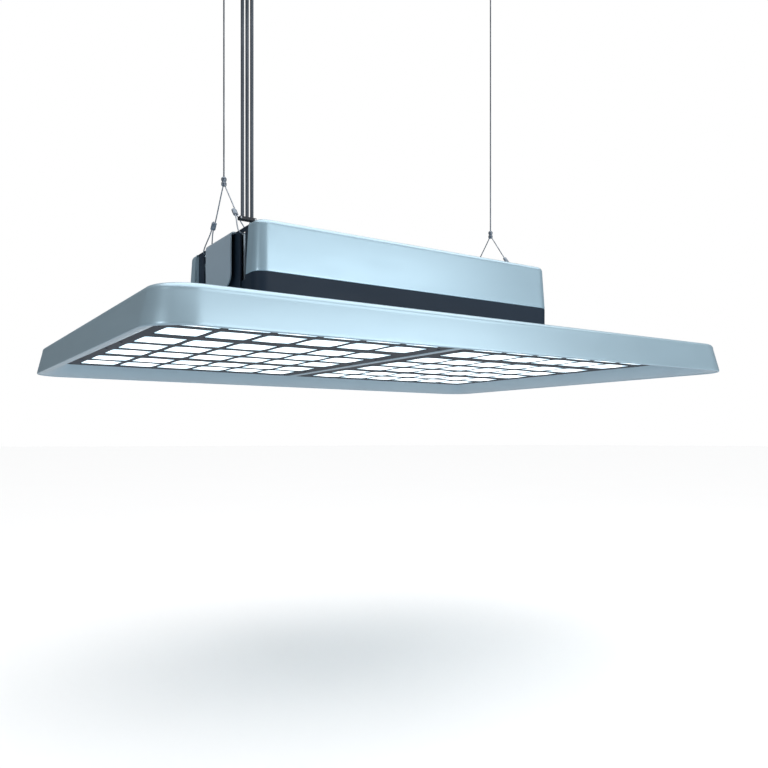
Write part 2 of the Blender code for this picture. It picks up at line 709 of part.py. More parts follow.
def leg_path(side, row):
    """Down from the ferrule, once round the teardrop loop, and back up into the sleeve."""
    eye, up, length = leg_frame(side, row)
    across = Vector((side, 0.0, 0.0))
    rise = SLEEVE_AT - LOOP_RADIUS

    def strand(sign, s):
        t = min(max((s - LOOP_RADIUS) / rise, 0.0), 1.0)
        wide = LOOP_RADIUS + (STRAND_OFFSET - LOOP_RADIUS) * t * t * (3 - 2 * t)
        return eye + up * s + across * sign * wide

    path = [eye + up * length]
    sleeve_top = SLEEVE_AT + SLEEVE_LENGTH
    steps = 7
    for k in range(1, steps):
        t = k / steps
        s = length + (sleeve_top - length) * t
        path.append(eye + up * s - across * STRAND_OFFSET * t * t * (3 - 2 * t))
    path += [strand(-1, sleeve_top - SLEEVE_LENGTH * k / 3) for k in range(4)]
    path += [strand(-1, SLEEVE_AT - rise * k / 7) for k in range(1, 7)]
    for k in range(9):
        a = math.pi * (1 + k / 8)
        path.append(eye + up * LOOP_RADIUS * (1 + math.sin(a)) + across * LOOP_RADIUS * math.cos(a))
    path += [strand(1, LOOP_RADIUS + rise * k / 7) for k in range(1, 8)]
    path += [strand(1, SLEEVE_AT + SLEEVE_LENGTH * k / 4) for k in (1, 2, 3)]
    return path


def make_sleeve(name, side, row):
    """An oval crimp sleeve with a bore for each of the two strands."""
    eye, up, _ = leg_frame(side, row)
    across = Vector((1.0, 0.0, 0.0))
    third = up.cross(across)
    bore = LEG_WIRE + GAP

    def ring(half_wide, half_thick, s, centre=0.0, count=20):
        base = eye + up * s
        angles = [2 * math.pi * k / count for k in range(count)]
        return [base + across * (centre + half_wide * math.cos(a))
                + third * half_thick * math.sin(a) for a in angles]

    wide, thick = STRAND_OFFSET + bore + 0.0014, bore + 0.0014
    edge = 0.0012
    bm = bmesh.new()
    add_loft(bm, [ring(wide - edge / 2, thick - edge / 2, SLEEVE_AT),
                  ring(wide, thick, SLEEVE_AT + edge),
                  ring(wide, thick, SLEEVE_AT + SLEEVE_LENGTH - edge),
                  ring(wide - edge / 2, thick - edge / 2, SLEEVE_AT + SLEEVE_LENGTH)])
    sleeve = solid(name, bm, CRIMP, smooth=True)
    bores = bmesh.new()
    low, high = SLEEVE_AT - 0.002, SLEEVE_AT + SLEEVE_LENGTH + 0.002
    for sign in (-1, 1):
        add_loft(bores, [ring(bore, bore, s, sign * STRAND_OFFSET, 10) for s in (low, high)])
    shape(sleeve, cutter(f"{name}_bores", bores), "DIFFERENCE")
    return sleeve


def make_suspension(word, side):
    """A bridle with its main wire, up to the ball that hangs in the ceiling nut."""
    x = side * WALL_X
    pieces = []
    for end, row in (("front", -1), ("rear", 1)):
        pieces.append(tube(f"{word}_{end}_leg", leg_path(side, row), LEG_WIRE, STEEL))
        pieces.append(make_sleeve(f"{word}_{end}_sleeve", side, row))
    low = RIM_Z + APEX_HEIGHT
    high = low + FERRULE_LENGTH
    r, edge = FERRULE_RADIUS, 0.0012
    profile = [(0, low), (r - edge, low), (r, low + edge), (r, low + 0.40 * FERRULE_LENGTH),
               (r - edge / 2, low + 0.45 * FERRULE_LENGTH),
               (r - edge / 2, low + 0.55 * FERRULE_LENGTH), (r, low + 0.60 * FERRULE_LENGTH),
               (r, high - edge), (r - edge, high), (0, high)]
    pieces.append(turned(f"{word}_apex_ferrule", profile, (x, 0.0), CRIMP, 16))
    start = high + GAP
    flat = MAIN_WIRE * 1.2
    lowest = -math.degrees(math.acos(flat / BALL_RADIUS))
    ball = [(0, BALL_Z + BALL_RADIUS * math.sin(math.radians(lowest)))]
    ball += [(px, BALL_Z + pz) for px, pz in arc(BALL_RADIUS, lowest, 80, 8)]
    ball.append((0, BALL_Z + BALL_RADIUS))
    pieces.append(turned(f"{word}_wire_ball", ball, (x, 0.0), NICKEL, 16))
    end = ball[0][1] - GAP
    count = 60
    points = [(x, 0.0, start + (end - start) * k / count) for k in range(count + 1)]
    pieces.append(tube(f"{word}_main_wire", points, MAIN_WIRE, STEEL))
    return pieces


def make_ceiling_fitting(word, side):
    """A screwed-on ceiling disc with a boss, and the cap nut that holds the wire's ball."""
    centre = (side * WALL_X, 0.0)
    disc, boss = CEILING_DISC_THICKNESS, CEILING_DISC_THICKNESS + BOSS_LENGTH
    edge = 0.001
    profile = [(SCREW_HOLE, 0.0), (CEILING_DISC, 0.0), (CEILING_DISC, -disc + edge),
               (CEILING_DISC - edge, -disc), (BOSS_RADIUS, -disc), (BOSS_RADIUS, -boss),
               (SCREW_HOLE, -boss)]
    turned(f"{word}_ceiling_base", profile, centre, NICKEL)
    top = -disc - GAP
    low = top - NUT_LENGTH
    thread = BOSS_RADIUS + GAP
    seat = -boss - GAP
    cavity = BALL_RADIUS + BALL_ROOM
    profile = [(thread, top), (NUT_RADIUS - edge / 2, top), (NUT_RADIUS, top - edge / 2),
               (NUT_RADIUS, low + NUT_CHAMFER), (NUT_RADIUS - 0.6 * NUT_CHAMFER, low),
               (NUT_MOUTH, low),
               (NUT_MOUTH, low + NUT_FLOOR), (cavity, low + NUT_FLOOR), (cavity, seat),
               (thread, seat)]
    turned(f"{word}_ceiling_nut", profile, centre, NICKEL)


# The power cords


def clamp_block(name, centre, length, width, low, high, finish):
    bm = bmesh.new()
    rings = [outline(length / 2, width / 2, 0.003, z, centre, 3) for z in (low, high)]
    add_loft(bm, rings)
    return solid(name, bm, finish)


def make_ceiling_clamp():
    """The plate and the block that hold the three cords at the ceiling."""
    row = (CORD_ROW_X, CORD_ROW_Y)
    clamp_block("ceiling_cord_plate", row, CEILING_PLATE_LENGTH, CEILING_PLATE_WIDTH,
                -CEILING_PLATE_THICKNESS, 0.0, BLACK)
    under = -CEILING_PLATE_THICKNESS - GAP
    clamp_block("ceiling_cord_clamp", row, CEILING_CLAMP_LENGTH, CLAMP_WIDTH,
                under - CEILING_CLAMP_HEIGHT, under, BLACK)


def make_cords():
    """Three cords, gripped in a clamp above the terminal box, up to the ceiling's clamp."""
    row = (CORD_ROW_X, CORD_ROW_Y)
    top = RIM_Z + CLAMP_TOP
    clamp = clamp_block("cord_clamp", row, CLAMP_LENGTH, CLAMP_WIDTH, top - CLAMP_THICKNESS,
                        top, BLACK)
    low, high = RIM_Z + TERMINAL_BOX_TOP + GAP, top - CLAMP_THICKNESS - GAP
    foot, r = GLAND_RADIUS + 0.001, GLAND_RADIUS
    profile = [(0, low), (foot, low), (foot, low + 0.006), (r, low + 0.0075), (r, high), (0, high)]
    gland = turned("cord_gland", profile, (GLAND_X, CORD_ROW_Y), BLACK, 12)
    cords = []
    start = top + GAP
    end = -CEILING_PLATE_THICKNESS - GAP - CEILING_CLAMP_HEIGHT - CORD_END_GAP
    count = 40
    for k, word in enumerate(("left", "middle", "right")):
        x = CORD_ROW_X + (k - 1) * CORD_PITCH
        points = [(x, CORD_ROW_Y, start + (end - start) * i / count) for i in range(count + 1)]
        cords.append(tube(f"{word}_power_cord", points, CORD_RADIUS, CORD))
    return [clamp, gland] + cords


def axis_empty(name, place):
    mark = bpy.data.objects.new(name, None)
    bpy.context.scene.collection.objects.link(mark)
    mark.location = place
    return mark


def hang_from(pieces, empty):
    """Parents pieces to an empty on their joint's axis, and leaves them where they are."""
    bpy.context.view_layer.update()
    for piece in pieces:
        piece.parent = empty
        piece.matrix_parent_inverse = empty.matrix_world.inverted()


clear_scene()
for word, side in (("left", -1), ("right", 1)):
    make_ceiling_fitting(word, side)
    pieces = make_suspension(word, side)
    hang_from(pieces, axis_empty(f"{word}_wire_axis", (side * WALL_X, 0.0, BALL_Z)))
make_ceiling_clamp()
on_light = make_cords()
before = set(bpy.data.objects)
make_tray()
make_bezel()
make_led_module("left", -1)
make_led_module("right", 1)
make_centre_strip()
make_spreader()
make_base()
make_cover("front_cover", -1)
make_cover("rear_cover", 1)
make_spine()
make_end_wall("left_end_wall", -1)
make_end_wall("right_end_wall", 1)
make_driver("front_driver", -1)
make_driver("rear_driver", 1)
make_terminal_box()
make_leads()
light = on_light + [item for item in bpy.data.objects if item not in before]
hang_from(light, axis_empty("light_axis", (-WALL_X, 0.0, RIM_Z + EYE_HEIGHT)))
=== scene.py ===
"""LED grow light for a greenhouse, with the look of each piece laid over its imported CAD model.

Metres, +Z up. The origin is on the ceiling, midway between the two wire fittings. Heights called
"over the rim" count up from the tray's lower edge.
"""

import bmesh
import bpy
import numpy as np
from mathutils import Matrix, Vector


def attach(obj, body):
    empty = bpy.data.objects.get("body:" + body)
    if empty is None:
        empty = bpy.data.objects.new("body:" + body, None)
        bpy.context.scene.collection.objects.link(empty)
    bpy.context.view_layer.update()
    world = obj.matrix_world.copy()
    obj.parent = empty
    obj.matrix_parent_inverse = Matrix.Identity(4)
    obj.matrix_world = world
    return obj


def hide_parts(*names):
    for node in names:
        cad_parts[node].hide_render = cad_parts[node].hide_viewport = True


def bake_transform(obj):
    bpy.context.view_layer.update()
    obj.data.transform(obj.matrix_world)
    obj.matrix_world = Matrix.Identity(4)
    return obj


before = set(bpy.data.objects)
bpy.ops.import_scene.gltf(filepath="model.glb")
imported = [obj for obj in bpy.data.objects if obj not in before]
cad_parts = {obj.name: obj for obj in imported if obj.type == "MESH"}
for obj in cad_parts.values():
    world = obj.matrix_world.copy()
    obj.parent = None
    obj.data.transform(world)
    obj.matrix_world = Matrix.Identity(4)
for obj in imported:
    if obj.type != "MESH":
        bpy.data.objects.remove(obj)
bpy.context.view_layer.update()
RIM = -0.790

# The studio: a level camera a little below the tray, a plain white floor half a metre under
# the light, soft daylight from overhead, one broad lamp in front and a small one at the left
# that brightens the round corners.

camera_data = bpy.data.cameras.new("camera")
camera_data.lens = 35.23
camera_data.sensor_width = 36.0
camera_data.shift_x = -0.0016
camera_data.shift_y = 0.0748
camera = bpy.data.objects.new("camera", camera_data)
camera.location = (-0.719, -1.132, RIM - 0.120)
camera.rotation_euler = (np.pi / 2, 0.0, -np.radians(33.4))
bpy.context.scene.collection.objects.link(camera)
bpy.context.scene.camera = camera
bpy.context.scene.view_settings.view_transform = "Standard"

FLOOR_DROP = 0.504  # from the rim down to the floor
FLOOR_REACH = 60.0


def add_light(name, kind, place, target, energy, **settings):
    """A lamp at a place, turned towards a target."""
    data = bpy.data.lights.new(name, kind)
    data.energy = energy
    for key, value in settings.items():
        setattr(data, key, value)
    lamp = bpy.data.objects.new(name, data)
    lamp.location = place
    way = Vector(target) - lamp.location
    lamp.rotation_euler = way.to_track_quat("-Z", "Y").to_euler()
    bpy.context.scene.collection.objects.link(lamp)


add_light("daylight", "SUN", (0.2, -0.2, 3.0), (0, 0, 0), 3.3, angle=np.radians(88))
add_light("front_lamp", "AREA", (1.0, -2.5, -0.35), (0, 0, -0.75), 29.0, size=1.7,
          color=(0.97, 0.99, 1.0))
add_light("edge_lamp", "AREA", (-2.5, -0.8, -0.3), (-0.4, -0.3, -0.7), 6.0, size=0.35)

world = bpy.data.worlds.new("studio")
bpy.context.scene.world = world
world.use_nodes = True
sky = world.node_tree
sky.nodes.clear()
seen = sky.nodes.new("ShaderNodeBackground")
seen.inputs["Color"].default_value = (1.0, 1.0, 1.0, 1.0)
seen.inputs["Strength"].default_value = 1.0
fill = sky.nodes.new("ShaderNodeBackground")
fill.inputs["Color"].default_value = (0.94, 0.97, 1.0, 1.0)
fill.inputs["Strength"].default_value = 0.08
rays = sky.nodes.new("ShaderNodeLightPath")
either = sky.nodes.new("ShaderNodeMixShader")
out = sky.nodes.new("ShaderNodeOutputWorld")
sky.links.new(rays.outputs["Is Camera Ray"], either.inputs[0])
sky.links.new(fill.outputs[0], either.inputs[1])
sky.links.new(seen.outputs[0], either.inputs[2])
sky.links.new(either.outputs[0], out.inputs["Surface"])


class Shade:
    """One output of a shader node. Arithmetic on it adds the Math nodes that do it."""

    def __init__(self, tree, socket):
        self.tree = tree
        self.socket = socket

    def node(self, kind, sockets=(), out=0, **settings):
        """A node of a type, its settings, its sockets' values or links, and one output."""
        made = self.tree.nodes.new(kind)
        for key, value in settings.items():
            setattr(made, key, value)
        for key, value in dict(sockets).items():
            socket = made.inputs[key]
            if isinstance(value, Shade):
                self.tree.links.new(value.socket, socket)
            else:
                socket.default_value = value
        return Shade(self.tree, made.outputs[out])

    def maths(self, operation, *terms):
        return self.node("ShaderNodeMath", dict(enumerate(terms)), operation=operation)

    def __add__(self, other):
        return self.maths("ADD", self, other)

    __radd__ = __add__

    def __sub__(self, other):
        return self.maths("SUBTRACT", self, other)

    def __rsub__(self, other):
        return self.maths("SUBTRACT", other, self)

    def __mul__(self, other):
        return self.maths("MULTIPLY", self, other)

    __rmul__ = __mul__

    def __truediv__(self, other):
        return self.maths("DIVIDE", self, other)

    def __pow__(self, other):
        return self.maths("POWER", self, other)

    def __gt__(self, other):
        return self.maths("GREATER_THAN", self, other)

    def __abs__(self):
        return self.maths("ABSOLUTE", self)

    def span(self, low, high, to_low=0.0, to_high=1.0):
        """Runs smoothly from to_low to to_high while the value runs from low to high."""
        sockets = {0: self, 1: low, 2: high, 3: to_low, 4: to_high}
        return self.node("ShaderNodeMapRange", sockets, interpolation_type="SMOOTHSTEP")

    def stretched(self, scale):
        return self.node("ShaderNodeMapping", {"Vector": self, "Scale": scale})

    def noise(self, scale, detail=2.0, roughness=0.5):
        sockets = {"Vector": self, "Scale": scale, "Detail": detail, "Roughness": roughness}
        return self.node("ShaderNodeTexNoise", sockets)

    def axis(self, number):
        return self.node("ShaderNodeSeparateXYZ", {0: self}, out=number)

    def blend(self, low, high):
        """A colour between two, with this value as the share of the second."""
        ends = [(*c, 1.0) if isinstance(c, tuple) else c for c in (low, high)]
        return self.node("ShaderNodeMix", {0: self, 6: ends[0], 7: ends[1]}, out=2,
                         data_type="RGBA")

    def bump(self, strength, distance, normal=None):
        sockets = {"Height": self, "Strength": strength, "Distance": distance}
        if normal is not None:
            sockets["Normal"] = normal
        return self.node("ShaderNodeBump", sockets)


def look(name, **fixed):
    """A new material. Returns it, its Principled shader and the object's coordinates."""
    made = bpy.data.materials.new(name)
    made.use_nodes = True
    tree = made.node_tree
    shader = tree.nodes["Principled BSDF"]
    for key, value in fixed.items():
        shader.inputs[key.replace("_", " ")].default_value = value
    place = Shade(tree, tree.nodes.new("ShaderNodeTexCoord").outputs["Object"])
    return made, shader, place


def feed(shader, **values):
    """Links values into the shader's sockets, whose names are given with underscores."""
    for key, value in values.items():
        value.tree.links.new(value.socket, shader.inputs[key.replace("_", " ")])


def facing_up(place):
    """1 where the surface lies level and looks up, 0 where it stands or looks down."""
    normal = place.node("ShaderNodeNewGeometry", out=1)
    return normal.axis(2).span(0.75, 0.97)


floor_look, floor_shader, floor_place = look("floor_white", Roughness=0.9)
# Only the camera sees the floor white. What bounces off it is a grey floor's, so that the
# shaded sides stay dark.
seen_white = floor_place.node("ShaderNodeLightPath")
feed(floor_shader, Base_Color=seen_white.blend(
    (0.48, 0.49, 0.51), floor_place.noise(1.5).blend((0.90, 0.90, 0.90), (0.91, 0.91, 0.91))))
floor_data = bpy.data.meshes.new("floor")
floor_data.from_pydata([(x, y, RIM - FLOOR_DROP) for x, y in (
    (-FLOOR_REACH, -FLOOR_REACH), (FLOOR_REACH, -FLOOR_REACH),
    (FLOOR_REACH, FLOOR_REACH), (-FLOOR_REACH, FLOOR_REACH))], [], [(0, 1, 2, 3)])
floor_data.materials.append(floor_look)
floor = bpy.data.objects.new("floor", floor_data)
bpy.context.scene.collection.objects.link(floor)


# The three power cords: round cable with a dark grey rubber sheath. They hang straight from a
# clamp on the ceiling and are gripped by the clamp over the terminal box.

CORD_RADIUS = 0.0026
CORD_PITCH = 0.0074
CORD_ROW = (-0.277, -0.090)
CORD_FOOT = RIM + 0.2115
CORD_HEAD = -0.0217
CORD_BITE = 0.002  # how far each end runs into its clamp


def skin(rings, closed=True, looped=False, caps=(False, False)):
    """Quads between neighbouring rings, given as an array (ring, point, xyz), and end faces."""
    count, width = rings.shape[:2]
    row = np.arange(count if looped else count - 1)[:, None]
    col = np.arange(width if closed else width - 1)[None, :]
    above, beside = (row + 1) % count, (col + 1) % width
    quads = np.stack([row * width + col, row * width + beside, above * width + beside,
                      above * width + col], axis=-1).reshape(-1, 4)
    faces = [quads]
    if caps[0]:
        faces.append(np.arange(width)[None, ::-1])
    if caps[1]:
        faces.append((count - 1) * width + np.arange(width)[None, :])
    return rings.reshape(-1, 3), faces


def welded(points, faces):
    """The same skin with points that share a place merged into one."""
    keys = np.round(points * 1e6).astype(np.int64)
    _, first, which = np.unique(keys, axis=0, return_index=True, return_inverse=True)
    return points[first], [which.reshape(-1)[f] for f in faces]


def piece(name, skins, looks, body=None, stands_for=(), sharp=38.0):
    """One object in place, from skins (points, faces, and the number of its look)."""
    points, corners, totals, kinds, start = [], [], [], [], 0
    for item in skins:
        for face_set in item[1]:
            corners.append((face_set + start).ravel())
            totals.append(np.full(len(face_set), face_set.shape[1]))
            kinds.append(np.full(len(face_set), item[2] if len(item) > 2 else 0))
        points.append(item[0])
        start += len(item[0])
    points, corners = np.concatenate(points), np.concatenate(corners)
    totals, kinds = np.concatenate(totals), np.concatenate(kinds)
    mesh = bpy.data.meshes.new(name)
    mesh.vertices.add(len(points))
    mesh.vertices.foreach_set("co", points.astype(np.float32).ravel())
    mesh.loops.add(len(corners))
    mesh.loops.foreach_set("vertex_index", corners.astype(np.int32))
    mesh.polygons.add(len(totals))
    mesh.polygons.foreach_set("loop_start", (np.cumsum(totals) - totals).astype(np.int32))
    mesh.polygons.foreach_set("material_index", kinds.astype(np.int32))
    mesh.update(calc_edges=True)
    mesh.validate()
    turned_out = bmesh.new()
    turned_out.from_mesh(mesh)
    bmesh.ops.recalc_face_normals(turned_out, faces=turned_out.faces)
    turned_out.to_mesh(mesh)
    turned_out.free()
    for one in looks if isinstance(looks, list) else [looks]:
        mesh.materials.append(one)
    mesh.shade_smooth()
    mesh.set_sharp_from_angle(angle=np.radians(sharp))
    made = bpy.data.objects.new(name, mesh)
    bpy.context.scene.collection.objects.link(made)
    if body:
        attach(made, body)
    if stands_for:
        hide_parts(*stands_for)
    return made


def tube(path, radius, flat, sides=24):
    """A tube round a path in one plane: each ring lies across the path, and flat is the
    plane's own direction. The radius is one number, or an array (ring, side)."""
    along = np.gradient(path, axis=0)
    along /= np.linalg.norm(along, axis=1, keepdims=True)
    flat = np.asarray(flat, float)
    third = np.cross(along, flat)
    turn = 2 * np.pi * np.arange(sides) / sides
    spread = (np.cos(turn)[None, :, None] * flat
              + np.sin(turn)[None, :, None] * third[:, None, :])
    reach = np.broadcast_to(radius, (len(path), sides))[..., None]
    return skin(path[:, None, :] + reach * spread, caps=(True, True))


def upright(x, y, low, high, count):
    """Evenly spaced points up a vertical line."""
    z = np.linspace(low, high, count)
    return np.stack([np.full(count, x), np.full(count, y), z], axis=1)


cord_look, cord_shader, cord_place = look("cord_rubber", Specular_IOR_Level=0.35)
smudge = cord_place.stretched((60.0, 60.0, 9.0)).noise(1.0, 4.0)
pore = cord_place.noise(2600.0, 2.0)
feed(cord_shader,
     Base_Color=smudge.span(0.3, 0.75).blend((0.060, 0.074, 0.092), (0.105, 0.122, 0.145)),
     Roughness=smudge.span(0.3, 0.7, 0.36, 0.50), Normal=pore.bump(0.12, 0.0001))

for number, side in enumerate(("left", "middle", "right")):
    x = CORD_ROW[0] + (number - 1) * CORD_PITCH
    line = upright(x, CORD_ROW[1], CORD_FOOT - CORD_BITE, CORD_HEAD + CORD_BITE, 96)
    cord = piece(f"{side}_power_cord_sheath", [tube(line, CORD_RADIUS, (1, 0, 0))], cord_look,
                 stands_for=[f"{side}_power_cord"])
    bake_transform(cord)


# The wire bridles: stranded galvanised steel wire. Each leg runs down from the apex ferrule,
# makes a teardrop loop through a slot of the housing's end wall, and comes back up into an
# oval crimp sleeve. A thicker wire goes from the ferrule up to a ball in the ceiling nut.

WIRE_X = 0.278
EYE_SPREAD = 0.156
EYE_HEIGHT = RIM + 0.191
APEX_HEIGHT = RIM + 0.2835
FERRULE_LENGTH = 0.0145
FERRULE_RADIUS = 0.0042
MAIN_WIRE = 0.00125
LEG_WIRE = 0.001
LOOP_RADIUS = 0.0062
STRAND_OFFSET = 0.0015
SLEEVE_AT = 0.045
SLEEVE_LENGTH = 0.013
BALL_FOOT = -0.0196
WIRE_FOOT = APEX_HEIGHT + FERRULE_LENGTH


def smooth(t):
    return t * t * (3 - 2 * t)


def walked(path):
    """The length along a path up to each of its points."""
    return np.concatenate([[0.0], np.cumsum(np.linalg.norm(np.diff(path, axis=0), axis=1))])


def evened(path, spacing):
    """A path with its points moved to equal steps along it."""
    length = walked(path)
    at = np.linspace(0.0, length[-1], max(3, int(length[-1] / spacing)))
    return np.stack([np.interp(at, length, path[:, k]) for k in range(3)], axis=1)


def laid_wire(path, radius, flat, lay, sides=24):
    """Six strands laid round a core: the radius dips between two strands, and the dips turn
    once round the wire in every lay of its length."""
    turn = 2 * np.pi * np.arange(sides) / sides
    wound = turn[None, :] - 2 * np.pi * walked(path)[:, None] / lay
    dip = 1 - np.sqrt(np.abs(np.cos(3 * wound)))
    return tube(path, radius * (1 - 0.22 * dip), flat, sides)


def turned(profile, centre, sides=32, looped=False, caps=(True, True), wave=None):
    """(radius, z) points turned round an upright axis. wave scales the radius, as an array
    (ring, side)."""
    profile = np.asarray(profile, float)
    turn = 2 * np.pi * np.arange(sides) / sides
    radius = profile[:, :1] * (1.0 if wave is None else wave)
    radius = np.broadcast_to(radius, (len(profile), sides))
    rings = np.stack([centre[0] + radius * np.cos(turn), centre[1] + radius * np.sin(turn),
                      np.broadcast_to(profile[:, 1:], radius.shape)], axis=-1)
    return skin(rings, looped=looped, caps=(False, False) if looped else caps)


def leg_path(side, row):
    """Down beside the main strand, half round the loop's lower end, and up into the sleeve.
    Each strand stands off the leg's line by the loop's radius, which narrows smoothly."""
    eye = np.array([side * WIRE_X, row * EYE_SPREAD / 2, EYE_HEIGHT])
    apex = np.array([side * WIRE_X, row * FERRULE_RADIUS * 0.4, APEX_HEIGHT + 0.003])
    up = apex - eye
    length = np.linalg.norm(up)
    up /= length
    across = np.array([float(side), 0.0, 0.0])
    sleeve_top = SLEEVE_AT + SLEEVE_LENGTH

    def stand_off(s):
        narrow = smooth(np.clip((s - LOOP_RADIUS) / (SLEEVE_AT - LOOP_RADIUS), 0, 1))
        wide = LOOP_RADIUS + (STRAND_OFFSET - LOOP_RADIUS) * narrow
        above = smooth(np.clip((length - s) / (length - sleeve_top), 0, 1))
        return np.where(s > sleeve_top, STRAND_OFFSET * above, wide)

    down = np.linspace(length, LOOP_RADIUS, 160)
    back = np.linspace(LOOP_RADIUS, sleeve_top + 0.0012, 110)
    round_end = np.radians(np.linspace(180, 360, 42)[1:-1])
    s = np.concatenate([down, LOOP_RADIUS * (1 + np.sin(round_end)), back])
    off = np.concatenate([-stand_off(down), LOOP_RADIUS * np.cos(round_end), stand_off(back)])
    path = eye + s[:, None] * up + off[:, None] * across
    return evened(path, 0.0007), np.cross(up, across)


def sleeve(side, row):
    """An oval tube, pressed in three places: its half width and half depth shrink by a
    cosine dip at each press, and its ends are eased."""
    eye = np.array([side * WIRE_X, row * EYE_SPREAD / 2, EYE_HEIGHT])
    apex = np.array([side * WIRE_X, row * FERRULE_RADIUS * 0.4, APEX_HEIGHT])
    up = (apex - eye) / np.linalg.norm(apex - eye)
    across = np.array([1.0, 0.0, 0.0])
    deep = np.cross(up, across)
    t = np.linspace(0.0, 1.0, 46)
    press = 0.10 * np.clip(np.cos(2 * np.pi * (3 * t + 0.5)), 0, 1)
    ends = 0.30 * np.exp(-t / 0.03) + 0.30 * np.exp(-(1 - t) / 0.03)
    ends += 0.22 * np.exp(-t / 0.006) + 0.22 * np.exp(-(1 - t) / 0.006)
    wide = 0.0042 * (1 + press * 0.3 - ends * 0.55)
    thick = 0.0027 * (1 - press - ends * 0.55)
    turn = 2 * np.pi * np.arange(40) / 40
    middle = eye + (SLEEVE_AT + t * SLEEVE_LENGTH)[:, None] * up
    rings = (middle[:, None, :] + (wide[:, None] * np.cos(turn))[..., None] * across
             + (thick[:, None] * np.sin(turn))[..., None] * deep)
    return skin(rings, caps=(True, True))


wire_look, wire_shader, wire_place = look("wire_galvanised", Metallic=0.85)
tarnish = wire_place.stretched((200.0, 200.0, 40.0)).noise(1.0, 3.0)
spangle = wire_place.noise(1800.0, 2.0)
feed(wire_shader,
     Base_Color=tarnish.span(0.3, 0.7).blend((0.17, 0.20, 0.24), (0.34, 0.38, 0.43)),
     Roughness=spangle.span(0.3, 0.7, 0.30, 0.48), Normal=spangle.bump(0.15, 0.0001))

crimp_look, crimp_shader, crimp_place = look("crimp_dull", Metallic=0.8)
tool_mark = crimp_place.stretched((1.0, 1.0, 8.0)).noise(420.0, 3.0)
tone = crimp_place.noise(300.0, 2.0)
feed(crimp_shader,
     Base_Color=tone.span(0.3, 0.7).blend((0.13, 0.16, 0.20), (0.27, 0.31, 0.36)),
     Roughness=tone.span(0.3, 0.7, 0.36, 0.55), Normal=tool_mark.bump(0.25, 0.0002))

FERRULE_PROFILE = [(0.0030, 0.0), (0.0039, 0.0006), (0.0042, 0.0014), (0.0042, 0.0046),
                   (0.0040, 0.0052), (0.0034, 0.0060), (0.0032, 0.0068), (0.0034, 0.0077),
                   (0.0040, 0.0085), (0.0042, 0.0092), (0.0042, 0.0118), (0.0039, 0.0128),
                   (0.0030, 0.0138), (0.0020, 0.0145)]

for word, side in (("left", -1), ("right", 1)):
    body = f"{word}_suspension"
    for end, row in (("front", -1), ("rear", 1)):
        path, flat = leg_path(side, row)
        piece(f"{word}_{end}_leg_strand", [laid_wire(path, LEG_WIRE, flat, 0.011, 18)], wire_look,
              body, [f"{word}_{end}_leg"], sharp=60.0)
        piece(f"{word}_{end}_pressed_sleeve", [sleeve(side, row)], crimp_look, body,
              [f"{word}_{end}_sleeve"])
    profile = [(r, APEX_HEIGHT + z) for r, z in FERRULE_PROFILE]
    piece(f"{word}_ferrule", [turned(profile, (side * WIRE_X, 0.0), 32)], crimp_look, body,
          [f"{word}_apex_ferrule"])
    line = upright(side * WIRE_X, 0.0, WIRE_FOOT - 0.001, BALL_FOOT, 400)
    strand = piece(f"{word}_main_strand", [laid_wire(line, MAIN_WIRE, (1, 0, 0), 0.014)],
                   wire_look, body, [f"{word}_main_wire"], sharp=60.0)


# The ceiling fittings: a screwed-on disc with a threaded boss, and a knurled cap nut that holds
# the wire's ball. All are nickel-plated brass, turned on a lathe.

DISC_RADIUS = 0.015
DISC_THICKNESS = 0.004
BOSS_RADIUS = 0.006
BOSS_FOOT = -0.011
NUT_RADIUS = 0.008
NUT_TOP = -0.0043
NUT_FOOT = -0.0213
NUT_MOUTH = 0.0032


def knurled_nut(centre):
    """A turned cap nut. Over its middle the radius rises and falls with two sine waves that
    cross at a slant, which makes small diamonds."""
    outer = [(0.0062, NUT_TOP), (0.0074, NUT_TOP), (0.0078, NUT_TOP - 0.0006)]
    band = [(NUT_RADIUS, z) for z in np.linspace(NUT_TOP - 0.0015, NUT_TOP - 0.0115, 41)]
    lower = [(0.0078, NUT_TOP - 0.0122), (0.0079, NUT_TOP - 0.0130), (0.0072, NUT_TOP - 0.0144),
             (0.0060, NUT_TOP - 0.0158), (0.0046, NUT_FOOT + 0.0003), (0.0040, NUT_FOOT),
             (NUT_MOUTH + 0.0003, NUT_FOOT), (NUT_MOUTH, NUT_FOOT + 0.0003),
             (NUT_MOUTH, NUT_FOOT + 0.003), (0.0046, NUT_FOOT + 0.003), (0.0046, BOSS_FOOT),
             (0.0062, BOSS_FOOT)]
    profile = np.array(outer + band + lower)
    sides, ridges = 144, 36
    turn = 2 * np.pi * np.arange(sides) / sides
    steps = np.arange(len(profile))[:, None] * np.pi / 4
    diamonds = np.maximum(np.cos(ridges * turn + steps), np.cos(ridges * turn - steps))
    inside = np.zeros((len(profile), 1))
    inside[len(outer):len(outer) + len(band)] = 1.0
    return turned(profile, centre, sides, looped=True, wave=1 - 0.018 * inside * (1 - diamonds))


nickel_look, nickel_shader, nickel_place = look("nickel_plate", Metallic=1.0)
wipe = nickel_place.stretched((30.0, 30.0, 900.0)).noise(1.0, 3.0)
feed(nickel_shader,
     Base_Color=nickel_place.noise(90.0).blend((0.56, 0.58, 0.60), (0.68, 0.70, 0.71)),
     Roughness=wipe.span(0.3, 0.7, 0.20, 0.34), Normal=wipe.bump(0.08, 0.0001))

